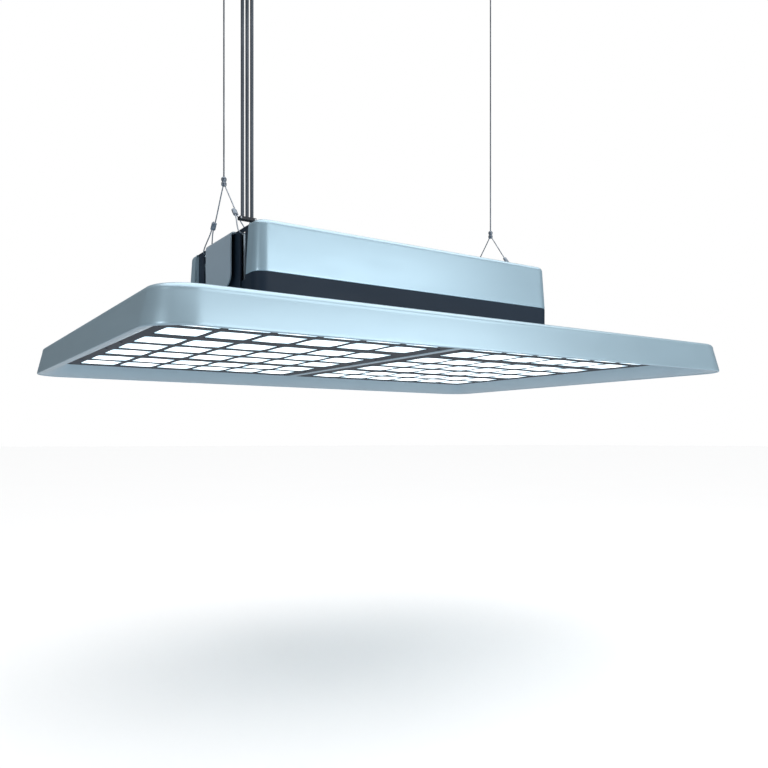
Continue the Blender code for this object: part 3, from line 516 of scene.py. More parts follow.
for word, side in (("left", -1), ("right", 1)):
    centre = (side * WIRE_X, 0.0)
    disc = [(0.0022, 0.0), (DISC_RADIUS, 0.0), (DISC_RADIUS, -0.0026), (0.0147, -0.0034),
            (0.0139, -DISC_THICKNESS), (0.0066, -DISC_THICKNESS), (BOSS_RADIUS, -0.0042),
            (BOSS_RADIUS, BOSS_FOOT + 0.0004), (BOSS_RADIUS - 0.0004, BOSS_FOOT),
            (0.0022, BOSS_FOOT)]
    piece(f"{word}_ceiling_disc", [turned(disc, centre, 64, looped=True)], nickel_look,
          "ceiling", [f"{word}_ceiling_base"])
    piece(f"{word}_knurled_nut", [knurled_nut(centre)], nickel_look, "ceiling",
          [f"{word}_ceiling_nut"])
    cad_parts[f"{word}_wire_ball"].material_slots[0].material = nickel_look


# The ceiling clamp for the cords: a black moulded plate, screwed up through two holes, and a
# block with the three cords in it.

PLATE_SIZE = (0.056, 0.036, 0.003)


def arc(centre_in, centre_up, radius, start, end, count=6):
    """Points (inset, height) on a circle. 0 degrees looks out sideways and 90 degrees up."""
    turn = np.radians(np.linspace(start, end, count + 1))
    return np.stack([centre_in - radius * np.cos(turn), centre_up + radius * np.sin(turn)], 1)


def level_rings(half_x, half_y, corner, z, centre=(0.0, 0.0), steps=8, guard=0.0006):
    """Level rectangles with round corners, one for each height: an arc's points are its middle
    plus its radius turned. A point each side of an arc keeps the flat sides flat in light."""
    z = np.asarray(z, float)[:, None]
    half_x, half_y, corner = (np.broadcast_to(np.asarray(v, float).reshape(-1, 1), z.shape)
                              for v in (half_x, half_y, corner))
    bend = np.radians(np.linspace(0, 90, steps + 1))
    bend = np.concatenate([bend[:1], bend, bend[-1:]])
    slide = np.zeros(steps + 3)
    slide[0], slide[-1] = -guard, guard
    xs, ys = [], []
    for sign_x, sign_y, start in ((1, 1, 0), (-1, 1, 90), (-1, -1, 180), (1, -1, 270)):
        a = bend + np.radians(start)
        xs.append(centre[0] + sign_x * (half_x - corner) + corner * np.cos(a) - slide * np.sin(a))
        ys.append(centre[1] + sign_y * (half_y - corner) + corner * np.sin(a) + slide * np.cos(a))
    x, y = np.concatenate(xs, axis=1), np.concatenate(ys, axis=1)
    return np.stack([x, y, np.broadcast_to(z, x.shape)], axis=-1)


def soft_block(low, high, corner, edge, steps=6):
    """A block whose upright corners and level edges are both rounded by circle arcs."""
    low, high = np.asarray(low, float), np.asarray(high, float)
    half, middle = (high - low) / 2, (high + low) / 2
    profile = np.concatenate([arc(edge, low[2] + edge, edge, -90, 0, 4),
                              arc(edge, high[2] - edge, edge, 0, 90, 4)])
    inset, z = profile[:, 0], profile[:, 1]
    rings = level_rings(half[0] - inset, half[1] - inset, np.maximum(corner - inset, 1e-4), z,
                        middle[:2], steps, min(0.0006, edge))
    return skin(rings, caps=(True, True))


def screw(place, facing, radius, height=0.45, sides=18):
    """A low round head with a six-sided socket: in the socket the radius follows a hexagon,
    and the crown is a quarter of an ellipse."""
    turn = 2 * np.pi * np.arange(sides) / sides
    hexagon = np.cos(np.pi / 6) / np.cos((turn + np.pi / 6) % (np.pi / 3) - np.pi / 6)
    rise = np.radians([90, 62, 34, 8])
    radii = [0.0, 0.42, 0.44] + list(0.55 + 0.45 * np.cos(rise)) + [1.0]
    heights = [0.10, 0.10, 0.92] + list(0.55 + 0.45 * np.sin(rise)) + [-0.25]
    round_or_hex = np.array([1, 1, 1, 0, 0, 0, 0, 0], float)[:, None]
    reach = np.array(radii)[:, None] * (round_or_hex * hexagon + 1 - round_or_hex)
    reach[0] = 0.2 * hexagon
    flat = np.stack([reach * np.cos(turn), reach * np.sin(turn),
                     np.broadcast_to(np.array(heights)[:, None] * height, reach.shape)], axis=-1)
    facing = np.asarray(facing, float)
    side = np.cross(facing, (0.0, 1.0, 0.0) if abs(facing[1]) < 0.5 else (1.0, 0.0, 0.0))
    axes = np.stack([side, np.cross(facing, side), facing])
    return skin(np.asarray(place) + radius * flat @ axes, caps=(True, True))


plastic_look, plastic_shader, plastic_place = look("black_plastic", Specular_IOR_Level=0.4)
mould = plastic_place.noise(1400.0, 3.0)
haze = plastic_place.noise(24.0, 3.0)
feed(plastic_shader,
     Base_Color=haze.span(0.35, 0.7).blend((0.012, 0.015, 0.021), (0.030, 0.036, 0.046)),
     Roughness=haze.span(0.3, 0.7, 0.42, 0.60), Normal=mould.bump(0.25, 0.0002))

screw_look, screw_shader, screw_place = look("screw_zinc", Metallic=0.9)
feed(screw_shader,
     Base_Color=screw_place.noise(400.0).blend((0.30, 0.33, 0.36), (0.50, 0.53, 0.56)),
     Roughness=screw_place.noise(900.0).span(0.3, 0.7, 0.28, 0.45))

plate_low = (CORD_ROW[0] - PLATE_SIZE[0] / 2, CORD_ROW[1] - PLATE_SIZE[1] / 2, -PLATE_SIZE[2])
plate_high = (CORD_ROW[0] + PLATE_SIZE[0] / 2, CORD_ROW[1] + PLATE_SIZE[1] / 2, 0.0)
for node in ("ceiling_cord_plate", "ceiling_cord_clamp"):
    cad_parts[node].material_slots[0].material = plastic_look
piece("ceiling_plate_screws",
      [screw((CORD_ROW[0] + s * 0.021, CORD_ROW[1], -PLATE_SIZE[2]), (0, 0, -1), 0.0032)
       for s in (-1, 1)], screw_look, "ceiling")


# The tray: a shallow hood of painted aluminium sheet with leaning sides and well rounded
# corners, pressed in one piece. It is open below and carries everything else.

TRAY_HALF = (0.500, 0.375)
TRAY_CORNER = 0.052
TRAY_HEIGHT = 0.0475
TRAY_WALL = 0.003
TRAY_LEAN = 0.010
TRAY_FILLET = 0.0075


def hood_rings(half, corner, profile, steps, guard):
    """Rounded rectangles for a profile (inset, height over the rim), tighter as they go in."""
    inset, height = profile[:, 0], profile[:, 1]
    return level_rings(half[0] - inset, half[1] - inset, corner - 0.6 * inset, RIM + height,
                       steps=steps, guard=guard)


def tray_profile():
    """Up the inside, round a small hem, up the leaning side and over the round top edge."""
    lean = TRAY_LEAN * (TRAY_HEIGHT - TRAY_FILLET) / TRAY_HEIGHT
    top_in = lean + TRAY_FILLET
    inner_top = TRAY_HEIGHT - TRAY_WALL
    inside = [(top_in + 0.003, inner_top), (lean + TRAY_WALL + 0.003, inner_top - 0.001),
              (lean + TRAY_WALL, inner_top - 0.005), (TRAY_WALL, 0.0012)]
    hem = arc(0.0015, 0.0015, 0.0015, -90, 0, 4)
    side = [(0.0002, 0.004), (lean - 0.0003, TRAY_HEIGHT - TRAY_FILLET - 0.002)]
    edge = arc(top_in, TRAY_HEIGHT - TRAY_FILLET, TRAY_FILLET, 0, 90, 10)
    return np.concatenate([inside, [(TRAY_WALL - 0.0004, 0.0)], hem, side, edge,
                           [(top_in + 0.004, TRAY_HEIGHT)]])


def paint(name, dark, light, dust, rough, **fixed):
    """Powder coat: a broad change of tone, a fine orange-peel surface, faint wiping marks in
    its gloss, and a trace of pale dust on what lies level."""
    made, shader, place = look(name, **fixed)
    broad = place.noise(3.5, 3.0)
    wipe = place.stretched((9.0, 9.0, 55.0)).noise(1.0, 4.0)
    peel = place.noise(1100.0, 2.0)
    settled = facing_up(place) * place.noise(14.0, 5.0).span(0.42, 0.72)
    tone = broad.span(0.25, 0.75).blend(dark, light)
    gloss = wipe.span(0.3, 0.7, rough - 0.02, rough + 0.03) + settled * 0.06
    feed(shader, Base_Color=(settled * 0.08).blend(tone, dust), Roughness=gloss,
         Normal=peel.bump(0.06, 0.0002))
    return made


DUST = (0.52, 0.54, 0.54)
sky_blue = paint("paint_pale_blue", (0.400, 0.555, 0.650), (0.430, 0.590, 0.685), DUST, 0.33,
                 Metallic=0.40, Coat_Weight=0.25, Coat_Roughness=0.22)
piece("tray_hood", [skin(hood_rings(TRAY_HALF, TRAY_CORNER, tray_profile(), 16, 0.004),
                         caps=(True, True))],
      sky_blue, "light", ["tray_shell"])


# The bezel: a painted frame that sweeps up in a hollow curve from the tray's edge to the LED
# panel. It is clipped in from below.

BEZEL_SHEET = 0.002
BEZEL_CORNER = 0.014
BEZEL_EDGE = 0.001
PANEL_HALF = (0.4543, 0.3253)
PANEL_LEVEL = 0.0204
LIP_TOP = 0.0346
SEAM = 0.0003


def bezel_rings():
    """From t = 0 at the tray's edge to t = 1 at the panel the height grows with t to the power
    1.5. Then come the upright lip, and the sheet's back, one thickness above the face."""
    outer = np.array(TRAY_HALF) - TRAY_WALL - TRAY_LEAN * 0.003 / TRAY_HEIGHT - SEAM
    inner = np.array(PANEL_HALF) + SEAM

    def at(t, height):
        t = np.asarray(t, float)
        half = outer + (inner - outer) * t[:, None]
        corner = TRAY_CORNER + (BEZEL_CORNER - TRAY_CORNER) * t
        return level_rings(half[:, 0], half[:, 1], corner, RIM + height, steps=16, guard=0.004)

    def slope(t):
        return BEZEL_EDGE + (PANEL_LEVEL - BEZEL_EDGE) * t ** 1.5

    face = np.linspace(0.0, 1.0, 25)
    back = np.linspace(1 - BEZEL_SHEET / (outer[0] - inner[0]), 0.0, 13)
    lip = level_rings(inner[0] + np.array([0, BEZEL_SHEET]), inner[1] + np.array([0, BEZEL_SHEET]),
                      BEZEL_CORNER + np.array([0, BEZEL_SHEET]), [RIM + LIP_TOP] * 2, steps=16,
                      guard=0.004)
    return np.concatenate([at(face, slope(face)), lip, at(back, slope(back) + BEZEL_SHEET)])


piece("bezel", [skin(bezel_rings(), looped=True)], sky_blue, "light",
      ["inner_bezel"])


# The two window frames of the LED panel: dark moulded grids with a bevelled, round-cornered
# window under each LED, held up by small black screws. A pale strip covers the joint.

FRAME_THICKNESS = 0.004
FRAME_CORNER = 0.012
WINDOW = (0.058, 0.0633)
WINDOW_CORNER = 0.003
WINDOW_BEVEL = 0.0014
COLUMN_PITCH = 0.068
FIRST_COLUMN = 0.0637
ROW_PITCH = 0.084
OUTER_ROWS = (0.181, 0.265)
STRIP_HALF = 0.0065
COLUMNS = FIRST_COLUMN + COLUMN_PITCH * np.arange(6)
ROWS = np.array([-0.265, -0.181, -ROW_PITCH, 0.0, ROW_PITCH, 0.181, 0.265])


def cell_ring(low, high, reach, round_at=(False,) * 4, radius=0.0, steps=6):
    """A rectangle's points in (u, v), spread over a reach either side of each corner. A corner
    marked in round_at follows an arc of that radius."""
    t = np.linspace(0.0, 1.0, steps + 1)
    along = np.maximum(2 * t - 1, 0.0)
    before = np.maximum(1 - 2 * t, 0.0)
    bend = np.radians(90 * t)
    parts = []
    for number, (su, sv) in enumerate(((1, 1), (-1, 1), (-1, -1), (1, -1))):
        corner = np.array([high[0] if su > 0 else low[0], high[1] if sv > 0 else low[1]])
        if round_at[number]:
            one, two = radius * (1 - np.cos(bend)), radius * (1 - np.sin(bend))
        else:
            one, two = reach * along, reach * before
        if su * sv < 0:
            one, two = one[::-1], two[::-1]
        parts.append(corner - np.stack([su * one, sv * two], axis=1))
    return np.concatenate(parts)


def window_plate(us, vs, windows, reach, levels, bevel, window_corner, plate_corner=0.0):
    """A plate of cells with a rounded window in each: a cell's rings go from its edge to the
    window, through the plate, and back out. us and vs are the cells' borders; windows gives
    each cell's window as (low, high); levels are the plate's two faces."""
    near, far = levels
    way = np.sign(far - near)
    skins = []
    for i in range(len(us) - 1):
        for j in range(len(vs) - 1):
            low, high = np.array([us[i], vs[j]]), np.array([us[i + 1], vs[j + 1]])
            last_i, last_j = i == len(us) - 2, j == len(vs) - 2
            rounded = [plate_corner > 0 and a and b for a, b in (
                (last_i, last_j), (i == 0, last_j), (i == 0, j == 0), (last_i, j == 0))]
            edge = cell_ring(low, high, reach, rounded, plate_corner)
            hole_low, hole_high = (np.asarray(v, float) for v in windows[i][j])
            every = (True,) * 4
            wide = cell_ring(hole_low - bevel, hole_high + bevel, 0, every, window_corner + bevel)
            hole = cell_ring(hole_low, hole_high, 0, every, window_corner)
            heights = (near, near, near + way * bevel, far, far)
            rings = np.stack([np.column_stack([ring, np.full(len(ring), h)]) for ring, h in
                              zip((edge, wide, hole, hole, edge), heights)])
            skins.append(skin(rings))
            skins.append(border_wall(edge, near, far, us, vs, rounded))
    points = np.concatenate([s[0] for s in skins])
    starts = np.cumsum([0] + [len(s[0]) for s in skins])
    faces = np.concatenate([f + start for s, start in zip(skins, starts) for f in s[1]])
    return welded(points, [faces])


def border_wall(edge, near, far, us, vs, rounded):
    """The plate's own side where a cell's edge runs along it, straight or round a corner."""
    small = 1e-7
    count = len(edge) // 4
    u_low, u_high = abs(edge[:, 0] - us[0]) < small, abs(edge[:, 0] - us[-1]) < small
    v_low, v_high = abs(edge[:, 1] - vs[0]) < small, abs(edge[:, 1] - vs[-1]) < small
    following = np.roll(np.arange(len(edge)), -1)
    on = np.zeros(len(edge), bool)
    for mark in (u_low, u_high, v_low, v_high):
        on |= mark & mark[following]
    for number in range(4):
        if rounded[number]:
            on[number * count:(number + 1) * count - 1] = True
    a, b = np.nonzero(on)[0], following[np.nonzero(on)[0]]
    points = np.concatenate([np.column_stack([edge, np.full(len(edge), near)]),
                             np.column_stack([edge, np.full(len(edge), far)])])
    return points, [np.stack([a, b, b + len(edge), a + len(edge)], axis=1)]


def module_windows():
    """The panel's cell borders and windows, for the side with x above 0."""
    near, far, half_y = STRIP_HALF + SEAM, PANEL_HALF[0] - SEAM, PANEL_HALF[1] - SEAM
    us = np.concatenate([[near], (COLUMNS[1:] + COLUMNS[:-1]) / 2, [far]])
    vs = np.concatenate([[-half_y], (ROWS[1:] + ROWS[:-1]) / 2, [half_y]])
    half = np.array(WINDOW) / 2
    windows = [[(np.array([x, y]) - half, np.array([x, y]) + half) for y in ROWS]
               for x in COLUMNS]
    return us, vs, windows


navy_look = paint("paint_navy_satin", (0.011, 0.022, 0.038), (0.016, 0.029, 0.048),
                  (0.20, 0.21, 0.22), 0.50, Specular_IOR_Level=0.2)
us, vs, windows = module_windows()
for word, side in (("left", -1), ("right", 1)):
    points, faces = window_plate(us, vs, windows, 0.0035, (RIM + PANEL_LEVEL, RIM + PANEL_LEVEL
                                 + FRAME_THICKNESS), WINDOW_BEVEL, WINDOW_CORNER, FRAME_CORNER)
    piece(f"{word}_window_grid", [(points * (side, 1, 1), faces)], navy_look, "light",
          [f"{word}_window_frame"])
    places = [(x, y) for x in (0.0205, 0.4465) for y in (-0.313, -0.2205, -0.042, 0.042, 0.2205,
                                                           0.313)]
    piece(f"{word}_window_screws",
          [screw((side * x, y, RIM + PANEL_LEVEL), (0, 0, -1), 0.0027, 0.25) for x, y in places],
          navy_look, "light")

strip_profile = np.concatenate([arc(0.0025, 0.0025, 0.0025, -90, 0, 6), [(0.0, 0.0150)]])
strip_rings = level_rings(STRIP_HALF - strip_profile[:, 0],
                          PANEL_HALF[1] - SEAM - 0.2 * strip_profile[:, 0], 0.0008,
                          RIM + PANEL_LEVEL - 0.001 + strip_profile[:, 1], steps=3)
piece("centre_bar", [skin(strip_rings, caps=(True, True))], sky_blue, "light",
      ["centre_strip"])


# Behind the windows: two frosted acrylic diffusers, each with a flat lens that fills every
# window, lit by an LED module behind it on a white circuit board. A black silicone seal runs
# round each half, under a ribbed aluminium spreader. All but the lenses are out of sight.


def window_glow(place):
    """How near a point is to the middle of its window, from 0 to 1, and a ripple over each
    LED module. The column is the rounded distance from the first one; rows beyond the
    middle three start again from the outer group's first row."""
    across, along = abs(place.axis(0)), abs(place.axis(1))
    column = (across - float(COLUMNS[0])) / COLUMN_PITCH
    outer = along > (ROW_PITCH + OUTER_ROWS[0]) / 2
    row = (along - outer * OUTER_ROWS[0]) / ROW_PITCH
    dx = (column - column.maths("ROUND", column)) * COLUMN_PITCH
    dy = (row - row.maths("ROUND", row)) * ROW_PITCH
    distance = (dx * dx + dy * dy) ** 0.5
    die = 2 * np.pi / 0.0075
    ripple = dx.maths("COSINE", dx * die) * dy.maths("COSINE", dy * die)
    near_module = 1 - distance.span(0.013, 0.019)
    return 1 - distance.span(0.012, 0.038), ripple * near_module


diffuser_look, diffuser_shader, diffuser_place = look("diffuser_frosted", Emission_Strength=3.2)
glow, ripple = window_glow(diffuser_place)
frost = diffuser_place.noise(500.0, 2.0)
feed(diffuser_shader,
     Base_Color=frost.blend((0.80, 0.87, 0.90), (0.88, 0.93, 0.95)),
     Roughness=frost.span(0.3, 0.7, 0.32, 0.48),
     Emission_Color=(glow + ripple * 0.06).span(0.0, 0.9).blend((0.16, 0.25, 0.30),
                                                                (0.98, 1.0, 1.0)))

board_look, board_shader, board_place = look("board_white")
tracks = board_place.noise(160.0, 3.0)
feed(board_shader, Base_Color=tracks.blend((0.70, 0.72, 0.72), (0.82, 0.84, 0.84)),
     Roughness=tracks.span(0.3, 0.7, 0.40, 0.60))

seal_look, seal_shader, seal_place = look("seal_silicone", Specular_IOR_Level=0.3)
seal_grain = seal_place.noise(700.0, 2.0)
feed(seal_shader, Base_Color=seal_grain.blend((0.018, 0.018, 0.020), (0.034, 0.034, 0.037)),
     Roughness=seal_grain.span(0.3, 0.7, 0.60, 0.78))

alloy_look, alloy_shader, alloy_place = look("aluminium_bare", Metallic=0.95)
drawn = alloy_place.stretched((700.0, 6.0, 700.0)).noise(1.0, 3.0)
feed(alloy_shader, Base_Color=drawn.blend((0.54, 0.56, 0.58), (0.68, 0.70, 0.71)),
     Roughness=drawn.span(0.3, 0.7, 0.28, 0.44), Normal=drawn.bump(0.05, 0.0001))

lead_look, lead_shader, lead_place = look("lead_sleeve", Specular_IOR_Level=0.35)
lead_grain = lead_place.noise(900.0, 2.0)
feed(lead_shader, Base_Color=lead_grain.blend((0.016, 0.016, 0.018), (0.034, 0.034, 0.038)),
     Roughness=lead_grain.span(0.3, 0.7, 0.46, 0.60))

LENS_FIT = 0.0005
LENS_LOW = 0.0208
DIFFUSER_LOW = 0.0247
DIFFUSER_HIGH = 0.0267
DIFFUSER_INSET = 0.0093  # from the panel half's edge in to the diffuser's
near, far = us[0] + DIFFUSER_INSET, us[-1] - DIFFUSER_INSET
across = vs[-1] - DIFFUSER_INSET
lens_half = np.array(WINDOW) / 2 - LENS_FIT
for word, side in (("left", -1), ("right", 1)):
    plate = soft_block((near, -across, RIM + DIFFUSER_LOW), (far, across, RIM + DIFFUSER_HIGH),
                       0.003, 0.0003)
    lenses = [soft_block((x - lens_half[0], y - lens_half[1], RIM + LENS_LOW),
                         (x + lens_half[0], y + lens_half[1], RIM + DIFFUSER_LOW + 0.001),
                         0.0026, 0.0006) for x in COLUMNS for y in ROWS]
    piece(f"{word}_lensed_diffuser",
          [(points * (side, 1, 1), faces) for points, faces in [plate] + lenses],
          diffuser_look, "light", [f"{word}_diffuser"])
    for node, finish in (("led_board", board_look), ("panel_seal", seal_look),
                         ("led_lead", lead_look)):
        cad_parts[f"{word}_{node}"].material_slots[0].material = finish
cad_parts["heat_spreader"].material_slots[0].material = alloy_look


# The driver base: a navy painted block of folded sheet on the tray's top. Its ends are let in
# between the covers' corners, where the end walls stand.

BOX_HALF = (0.2885, 0.149)
BOX_CORNER = 0.0195
BASE_FOOT = 0.0478
BASE_TOP = 0.122
COVER_Y = 0.112
NOTCH_X = 0.27645
SHEET_EDGE = 0.0008


def notched_rings(profile, steps, guard):
    """The housing's rounded rectangle with a shallow notch in each end, between plus and
    minus COVER_Y. Going in by an inset narrows the block and widens the notch."""
    inset, height = profile[:, 0], profile[:, 1]
    z = RIM + height
    rings = level_rings(BOX_HALF[0] - inset, BOX_HALF[1] - inset, BOX_CORNER - inset, z,
                        steps=steps, guard=guard)
    quarters = np.split(rings, 4, axis=1)
    parts = []
    for quarter, sign_x, sign_y in zip(quarters, (1, -1, -1, 1), (1, 1, -1, -1)):
        end_y = sign_y * (COVER_Y + inset)
        outer = np.stack([sign_x * (BOX_HALF[0] - inset), end_y, z], axis=1)[:, None]
        inner = np.stack([sign_x * (NOTCH_X - inset), end_y, z], axis=1)[:, None]
        before = sign_x * sign_y > 0
        parts += [inner, outer, quarter] if before else [quarter, outer, inner]
    return np.concatenate(parts, axis=1)


base_profile = np.concatenate([arc(SHEET_EDGE, BASE_FOOT + SHEET_EDGE, SHEET_EDGE, -90, 0, 3),
                               arc(SHEET_EDGE, BASE_TOP - SHEET_EDGE, SHEET_EDGE, 0, 90, 3)])
piece("driver_base_block", [skin(notched_rings(base_profile, 14, 0.003), caps=(True, True))],
      navy_look, "light", ["driver_base"])


# The two covers: pale painted hoods cut lengthwise, one each side of the open middle. Each
# wraps round both ends and is folded inwards there into an upright lip.

COVER_FOOT = 0.1223
BOX_TOP = 0.1987
COVER_FILLET = 0.008
COVER_LEAN = 0.0045
BOX_SHEET = 0.0025
WALL_X = 0.278
WALL_SHEET = 0.0025


def cover_profile():
    """Down the inside from the top, round the lower edge, up the leaning outside, and over a
    round edge onto the top."""
    height = BOX_TOP - COVER_FOOT
    lean = COVER_LEAN * (height - COVER_FILLET) / height
    inner = COVER_FILLET - BOX_SHEET
    top_in = lean + COVER_FILLET
    inside = arc(lean + BOX_SHEET + inner, BOX_TOP - BOX_SHEET - inner, inner, 90, 0, 5)
    lower = [(BOX_SHEET, COVER_FOOT + 0.001), (BOX_SHEET - 0.0004, COVER_FOOT)]
    edge = arc(SHEET_EDGE, COVER_FOOT + SHEET_EDGE, SHEET_EDGE, -90, 0, 3)
    side = [(0.0002, COVER_FOOT + 0.004), (lean - 0.0002, BOX_TOP - COVER_FILLET - 0.002)]
    over = arc(top_in, BOX_TOP - COVER_FILLET, COVER_FILLET, 0, 90, 10)
    return np.concatenate([[(top_in + 0.003, BOX_TOP - BOX_SHEET)], inside, lower, edge, side,
                           over, [(top_in + 0.003, BOX_TOP)]])


def cover_skin(row):
    """The half of the hood's rings beyond COVER_Y, and the flat face where it is cut."""
    profile = cover_profile()
    inset, z = profile[:, 0], RIM + profile[:, 1]
    rings = level_rings(BOX_HALF[0] - inset, BOX_HALF[1] - inset, BOX_CORNER - 0.6 * inset, z,
                        steps=14, guard=0.003)
    half = rings[:, :rings.shape[1] // 2]
    ends = [np.stack([s * (BOX_HALF[0] - inset), np.full(len(z), COVER_Y), z], axis=1)[:, None]
            for s in (1, -1)]
    half = np.concatenate([ends[0], half, ends[1]], axis=1) * (1, row, 1)
    points, faces = skin(half, closed=False, caps=(True, True))
    count, width = half.shape[:2]
    first, last = np.arange(count) * width, np.arange(count) * width + width - 1
    return points, faces + [np.concatenate([first, last[::-1]])[None, :]]


for word, row in (("front", -1), ("rear", 1)):
    lips = []
    for side in (-1, 1):
        xs = sorted((side * (WALL_X - WALL_SHEET / 2 - SEAM),
                     side * (BOX_HALF[0] - COVER_LEAN - BOX_SHEET / 2)))
        ys = sorted((row * COVER_Y, row * (COVER_Y + BOX_SHEET)))
        lips.append(soft_block((xs[0], ys[0], RIM + COVER_FOOT),
                               (xs[1], ys[1], RIM + BOX_TOP - BOX_SHEET / 2), 0.0006, 0.0004, 3))
    piece(f"{word}_hood", [cover_skin(row)] + lips, sky_blue, "light",
          [f"{word}_cover"])
    piece(f"{word}_hood_screws",
          [screw((x, row * 0.1235, RIM + BOX_TOP), (0, 0, 1), 0.0032) for x in
           (-0.245, -0.0825, 0.0825, 0.245)], screw_look, "light")


# The spine: one sheet of slate-painted steel, bent down at both ends, which have round lower
# corners. It closes the middle of the housing's top. A flange down each long side closes it
# off from the channels.

SPINE_HALF_Y = 0.0527
SPINE_SHEET = 0.002
SPINE_BEND = 0.006
SPINE_FOOT = 0.1175
SPINE_FOOT_CORNER = 0.020
FLANGE_REACH = 0.26675
FLANGE_Y = 0.05155
FLANGE_SHEET = 0.0017


def spine_skin():
    """A narrow rectangle carried up one end, along the top and down the other. Near each foot
    its half width follows a quarter circle."""
    turn = np.radians(np.linspace(0, 90, 9))
    rise = SPINE_FOOT_CORNER * (1 - np.cos(turn))
    foot_width = SPINE_HALF_Y - SPINE_FOOT_CORNER * (1 - np.sin(turn))
    bend = np.radians(np.linspace(0, 90, 9))

    def side_path(half, top, radius):
        up = np.stack([np.full(9, half), SPINE_FOOT + rise], axis=1)
        guard = [(half, top - radius - 0.003)]
        over = np.stack([half - radius + radius * np.cos(bend),
                         top - radius + radius * np.sin(bend)], axis=1)
        return np.concatenate([up, guard, over, [(half - radius - 0.003, top)]])

    outer = side_path(BOX_HALF[0], BOX_TOP, SPINE_BEND)
    inner = side_path(BOX_HALF[0] - SPINE_SHEET, BOX_TOP - SPINE_SHEET, SPINE_BEND - SPINE_SHEET)
    width = np.concatenate([foot_width, np.full(len(outer) - 9, SPINE_HALF_Y)])
    outer, inner = (np.concatenate([p * (-1, 1), p[::-1]]) for p in (outer, inner))
    width = np.concatenate([width, width[::-1]])
    corners = ((outer, -1), (outer, 1), (inner, 1), (inner, -1))
    rings = np.stack([np.stack([p[:, 0], s * width, RIM + p[:, 1]], axis=1)
                      for p, s in corners], axis=1)
    return skin(rings, caps=(True, True))


slate_look = paint("paint_slate", (0.410, 0.510, 0.590), (0.440, 0.545, 0.625), DUST, 0.40,
                   Metallic=0.2, Coat_Weight=0.15, Coat_Roughness=0.3)
flanges = [soft_block((-FLANGE_REACH, side * FLANGE_Y - FLANGE_SHEET / 2,
                       RIM + BASE_TOP + SEAM),
                      (FLANGE_REACH, side * FLANGE_Y + FLANGE_SHEET / 2,
                       RIM + BOX_TOP - SPINE_SHEET / 2), 0.0004, 0.0004) for side in (-1, 1)]
piece("spine", [spine_skin()] + flanges, slate_look, "light", ["spine_cover"])
piece("spine_screws",
      [screw((x, y, RIM + BOX_TOP), (0, 0, 1), 0.0032) for x in (-0.262, -0.09, 0.09, 0.262)
       for y in (-0.040, 0.040)], screw_look, "light")


# The end walls: dark plates set back between the covers and the spine. Each has two long
# slots with round upper corners, and the bridles' wire loops hang in the slots.

WALL_FOOT = 0.0481
SLOT_MIDDLE = 0.078
SLOT_HALF = 0.01025
SLOT_FOOT = 0.0601
SLOT_TOP = 0.1925
wall_us = (-COVER_Y + SEAM, 0.0, COVER_Y - SEAM)
wall_vs = (RIM + WALL_FOOT, RIM + BOX_TOP - SEAM)
slots = [[((row * SLOT_MIDDLE - SLOT_HALF, RIM + SLOT_FOOT),
           (row * SLOT_MIDDLE + SLOT_HALF, RIM + SLOT_TOP))] for row in (-1, 1)]
for word, side in (("left", -1), ("right", 1)):
    faces_at = (side * (WALL_X + WALL_SHEET / 2), side * (WALL_X - WALL_SHEET / 2))
    points, faces = window_plate(wall_us, wall_vs, slots, 0.004, faces_at, 0.0004, 0.004)
    piece(f"{word}_slotted_wall", [(points[:, [2, 0, 1]], faces)], navy_look, "light",
          [f"{word}_end_wall"])


# The two LED drivers: potted electronics in extruded aluminium cases with cooling fins, coated
# dark, with a black plastic cap screwed on each end. They lie in the housing's open channels.

DRIVER_LOW = 0.1223
DRIVER_DECK = 0.1653
DRIVER_TOP = 0.1873
DRIVER_HALF = 0.0275
CHANNEL_Y = 0.0825
FIN_COUNT = 7
FIN_THICKNESS = 0.0025
FIN_EASE = 0.0007
CAP_LENGTH = 0.008
DRIVER_ENDS = {"front": (-1, -0.21045, 0.26275), "rear": (1, -0.26275, 0.26275)}


def finned(centre):
    """The case's outline in (y, height): a block with upright fins, their tips eased."""
    pitch = (2 * DRIVER_HALF - FIN_THICKNESS) / (FIN_COUNT - 1)
    near = centre - DRIVER_HALF + pitch * np.arange(FIN_COUNT)[::-1, None]
    far, ease = near + FIN_THICKNESS, FIN_EASE
    y = np.concatenate([far, far, far - ease, near + ease, near, near], axis=1)
    z = np.broadcast_to([DRIVER_DECK, DRIVER_TOP - ease, DRIVER_TOP, DRIVER_TOP,
                         DRIVER_TOP - ease, DRIVER_DECK], y.shape)
    fins = np.stack([y, z], axis=-1).reshape(-1, 2)[1:-1]
    foot = [(centre - DRIVER_HALF, DRIVER_LOW), (centre + DRIVER_HALF, DRIVER_LOW)]
    return np.concatenate([foot, fins])


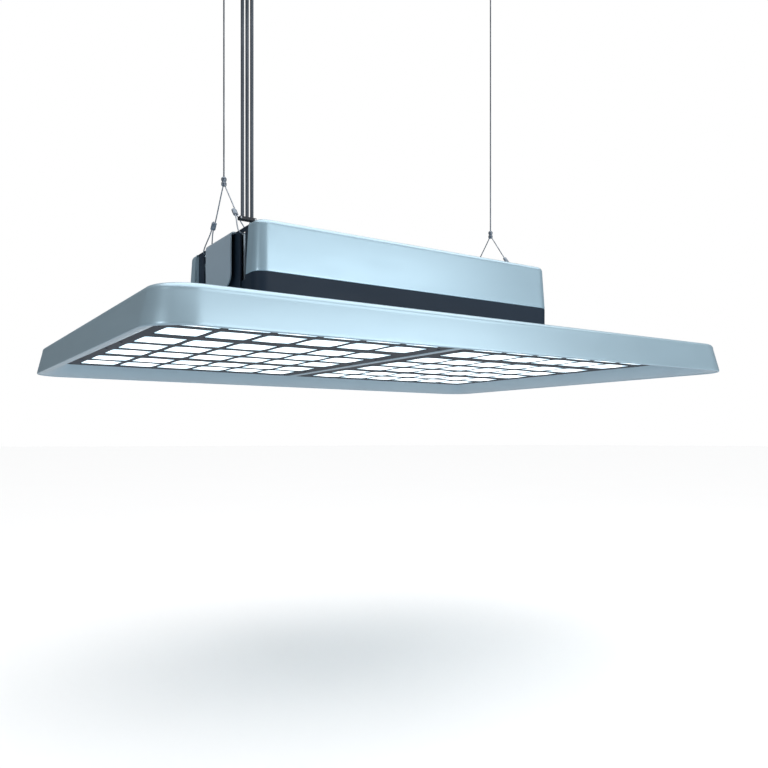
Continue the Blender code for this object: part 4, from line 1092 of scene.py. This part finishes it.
for word, (row, start, end) in DRIVER_ENDS.items():
    outline = finned(row * CHANNEL_Y)
    rings = np.stack([np.column_stack([np.full(len(outline), x), outline[:, 0],
                                       RIM + outline[:, 1]])
                      for x in (start + CAP_LENGTH + SEAM, end - CAP_LENGTH - SEAM)])
    piece(f"{word}_finned_case", [skin(rings, caps=(True, True))], navy_look, "light",
          [f"{word}_driver"])
    for side, low_x in (("left", start), ("right", end - CAP_LENGTH)):
        low = (low_x, row * CHANNEL_Y - DRIVER_HALF, RIM + DRIVER_LOW)
        high = (low_x + CAP_LENGTH, row * CHANNEL_Y + DRIVER_HALF, RIM + DRIVER_DECK)
        piece(f"{word}_{side}_moulded_cap", [soft_block(low, high, 0.0015, 0.0012)],
              plastic_look, "light", [f"{word}_driver_{side}_cap"])
    piece(f"{word}_case_screws",
          [screw((x, row * CHANNEL_Y + y, RIM + DRIVER_DECK), (0, 0, 1), 0.0026)
           for x in (start + CAP_LENGTH / 2, end - CAP_LENGTH / 2) for y in (-0.020, 0.020)],
          screw_look, "light")


# The terminal box with its lid, a ribbed gland and the clamp bar over it: black mouldings at
# the housing's left front corner, where the three cords come down.

BOX_LOW = (-0.27645, -0.111, RIM + 0.1223)
BOX_HIGH = (-0.21645, -0.085, RIM + 0.180)
GLAND = (-0.2695, -0.090)


def lidded_box():
    """A rounded box with a groove round it, where the lid meets the body."""
    low, high = np.array(BOX_LOW), np.array(BOX_HIGH)
    half, middle = (high - low) / 2, (high + low) / 2
    seam = high[2] - 0.009
    profile = np.concatenate([arc(0.001, low[2] + 0.001, 0.001, -90, 0, 3),
                              [(0.0, seam - 0.0012), (0.0007, seam - 0.0006),
                               (0.0007, seam + 0.0006), (0.0, seam + 0.0012)],
                              arc(0.0015, high[2] - 0.0015, 0.0015, 0, 90, 4)])
    inset = profile[:, 0]
    rings = level_rings(half[0] - inset, half[1] - inset, 0.003 - inset, profile[:, 1],
                        middle[:2], 6)
    return skin(rings, caps=(True, True))


def gland_skins():
    """A six-sided nut, a dome, and a sleeve whose radius ripples in even ribs."""
    z = RIM + 0.1803
    nut = turned([(0.0040, z), (0.0049, z + 0.0004), (0.0049, z + 0.0046), (0.0042, z + 0.0052)],
                 GLAND, 6)
    rib = np.linspace(0.0, 1.0, 81)
    ribs = np.stack([0.0036 + 0.0004 * np.cos(2 * np.pi * 9 * rib), z + 0.0075 + 0.0185 * rib], 1)
    dome = [(0.0042, z + 0.0050), (0.0045, z + 0.0056), (0.0044, z + 0.0068)]
    return [nut, turned(np.concatenate([dome, ribs]), GLAND, 32)]


piece("terminal_box_lidded", [lidded_box()], plastic_look, "light",
      ["terminal_box"])
piece("terminal_box_screws",
      [screw((x, y, BOX_HIGH[2]), (0, 0, 1), 0.0018) for x in (-0.2570, -0.2210)
       for y in (-0.1070, -0.0890)], screw_look, "light")
piece("ribbed_gland", gland_skins(), plastic_look, "light", ["cord_gland"])

clamp_halves = []
for sign in (-1, 1):
    ys = sorted((CORD_ROW[1] + sign * 0.0002, CORD_ROW[1] + sign * 0.005))
    clamp_halves.append(soft_block((CORD_ROW[0] - 0.0135, ys[0], CORD_FOOT - 0.005),
                                   (CORD_ROW[0] + 0.0135, ys[1], CORD_FOOT), 0.0015, 0.0007))
piece("split_clamp", clamp_halves, plastic_look, "light", ["cord_clamp"])
piece("split_clamp_screws",
      [screw((CORD_ROW[0] + s * 0.0112, CORD_ROW[1] - 0.005, CORD_FOOT - 0.0025), (0, -1, 0),
             0.0014) for s in (-1, 1)], screw_look, "light")
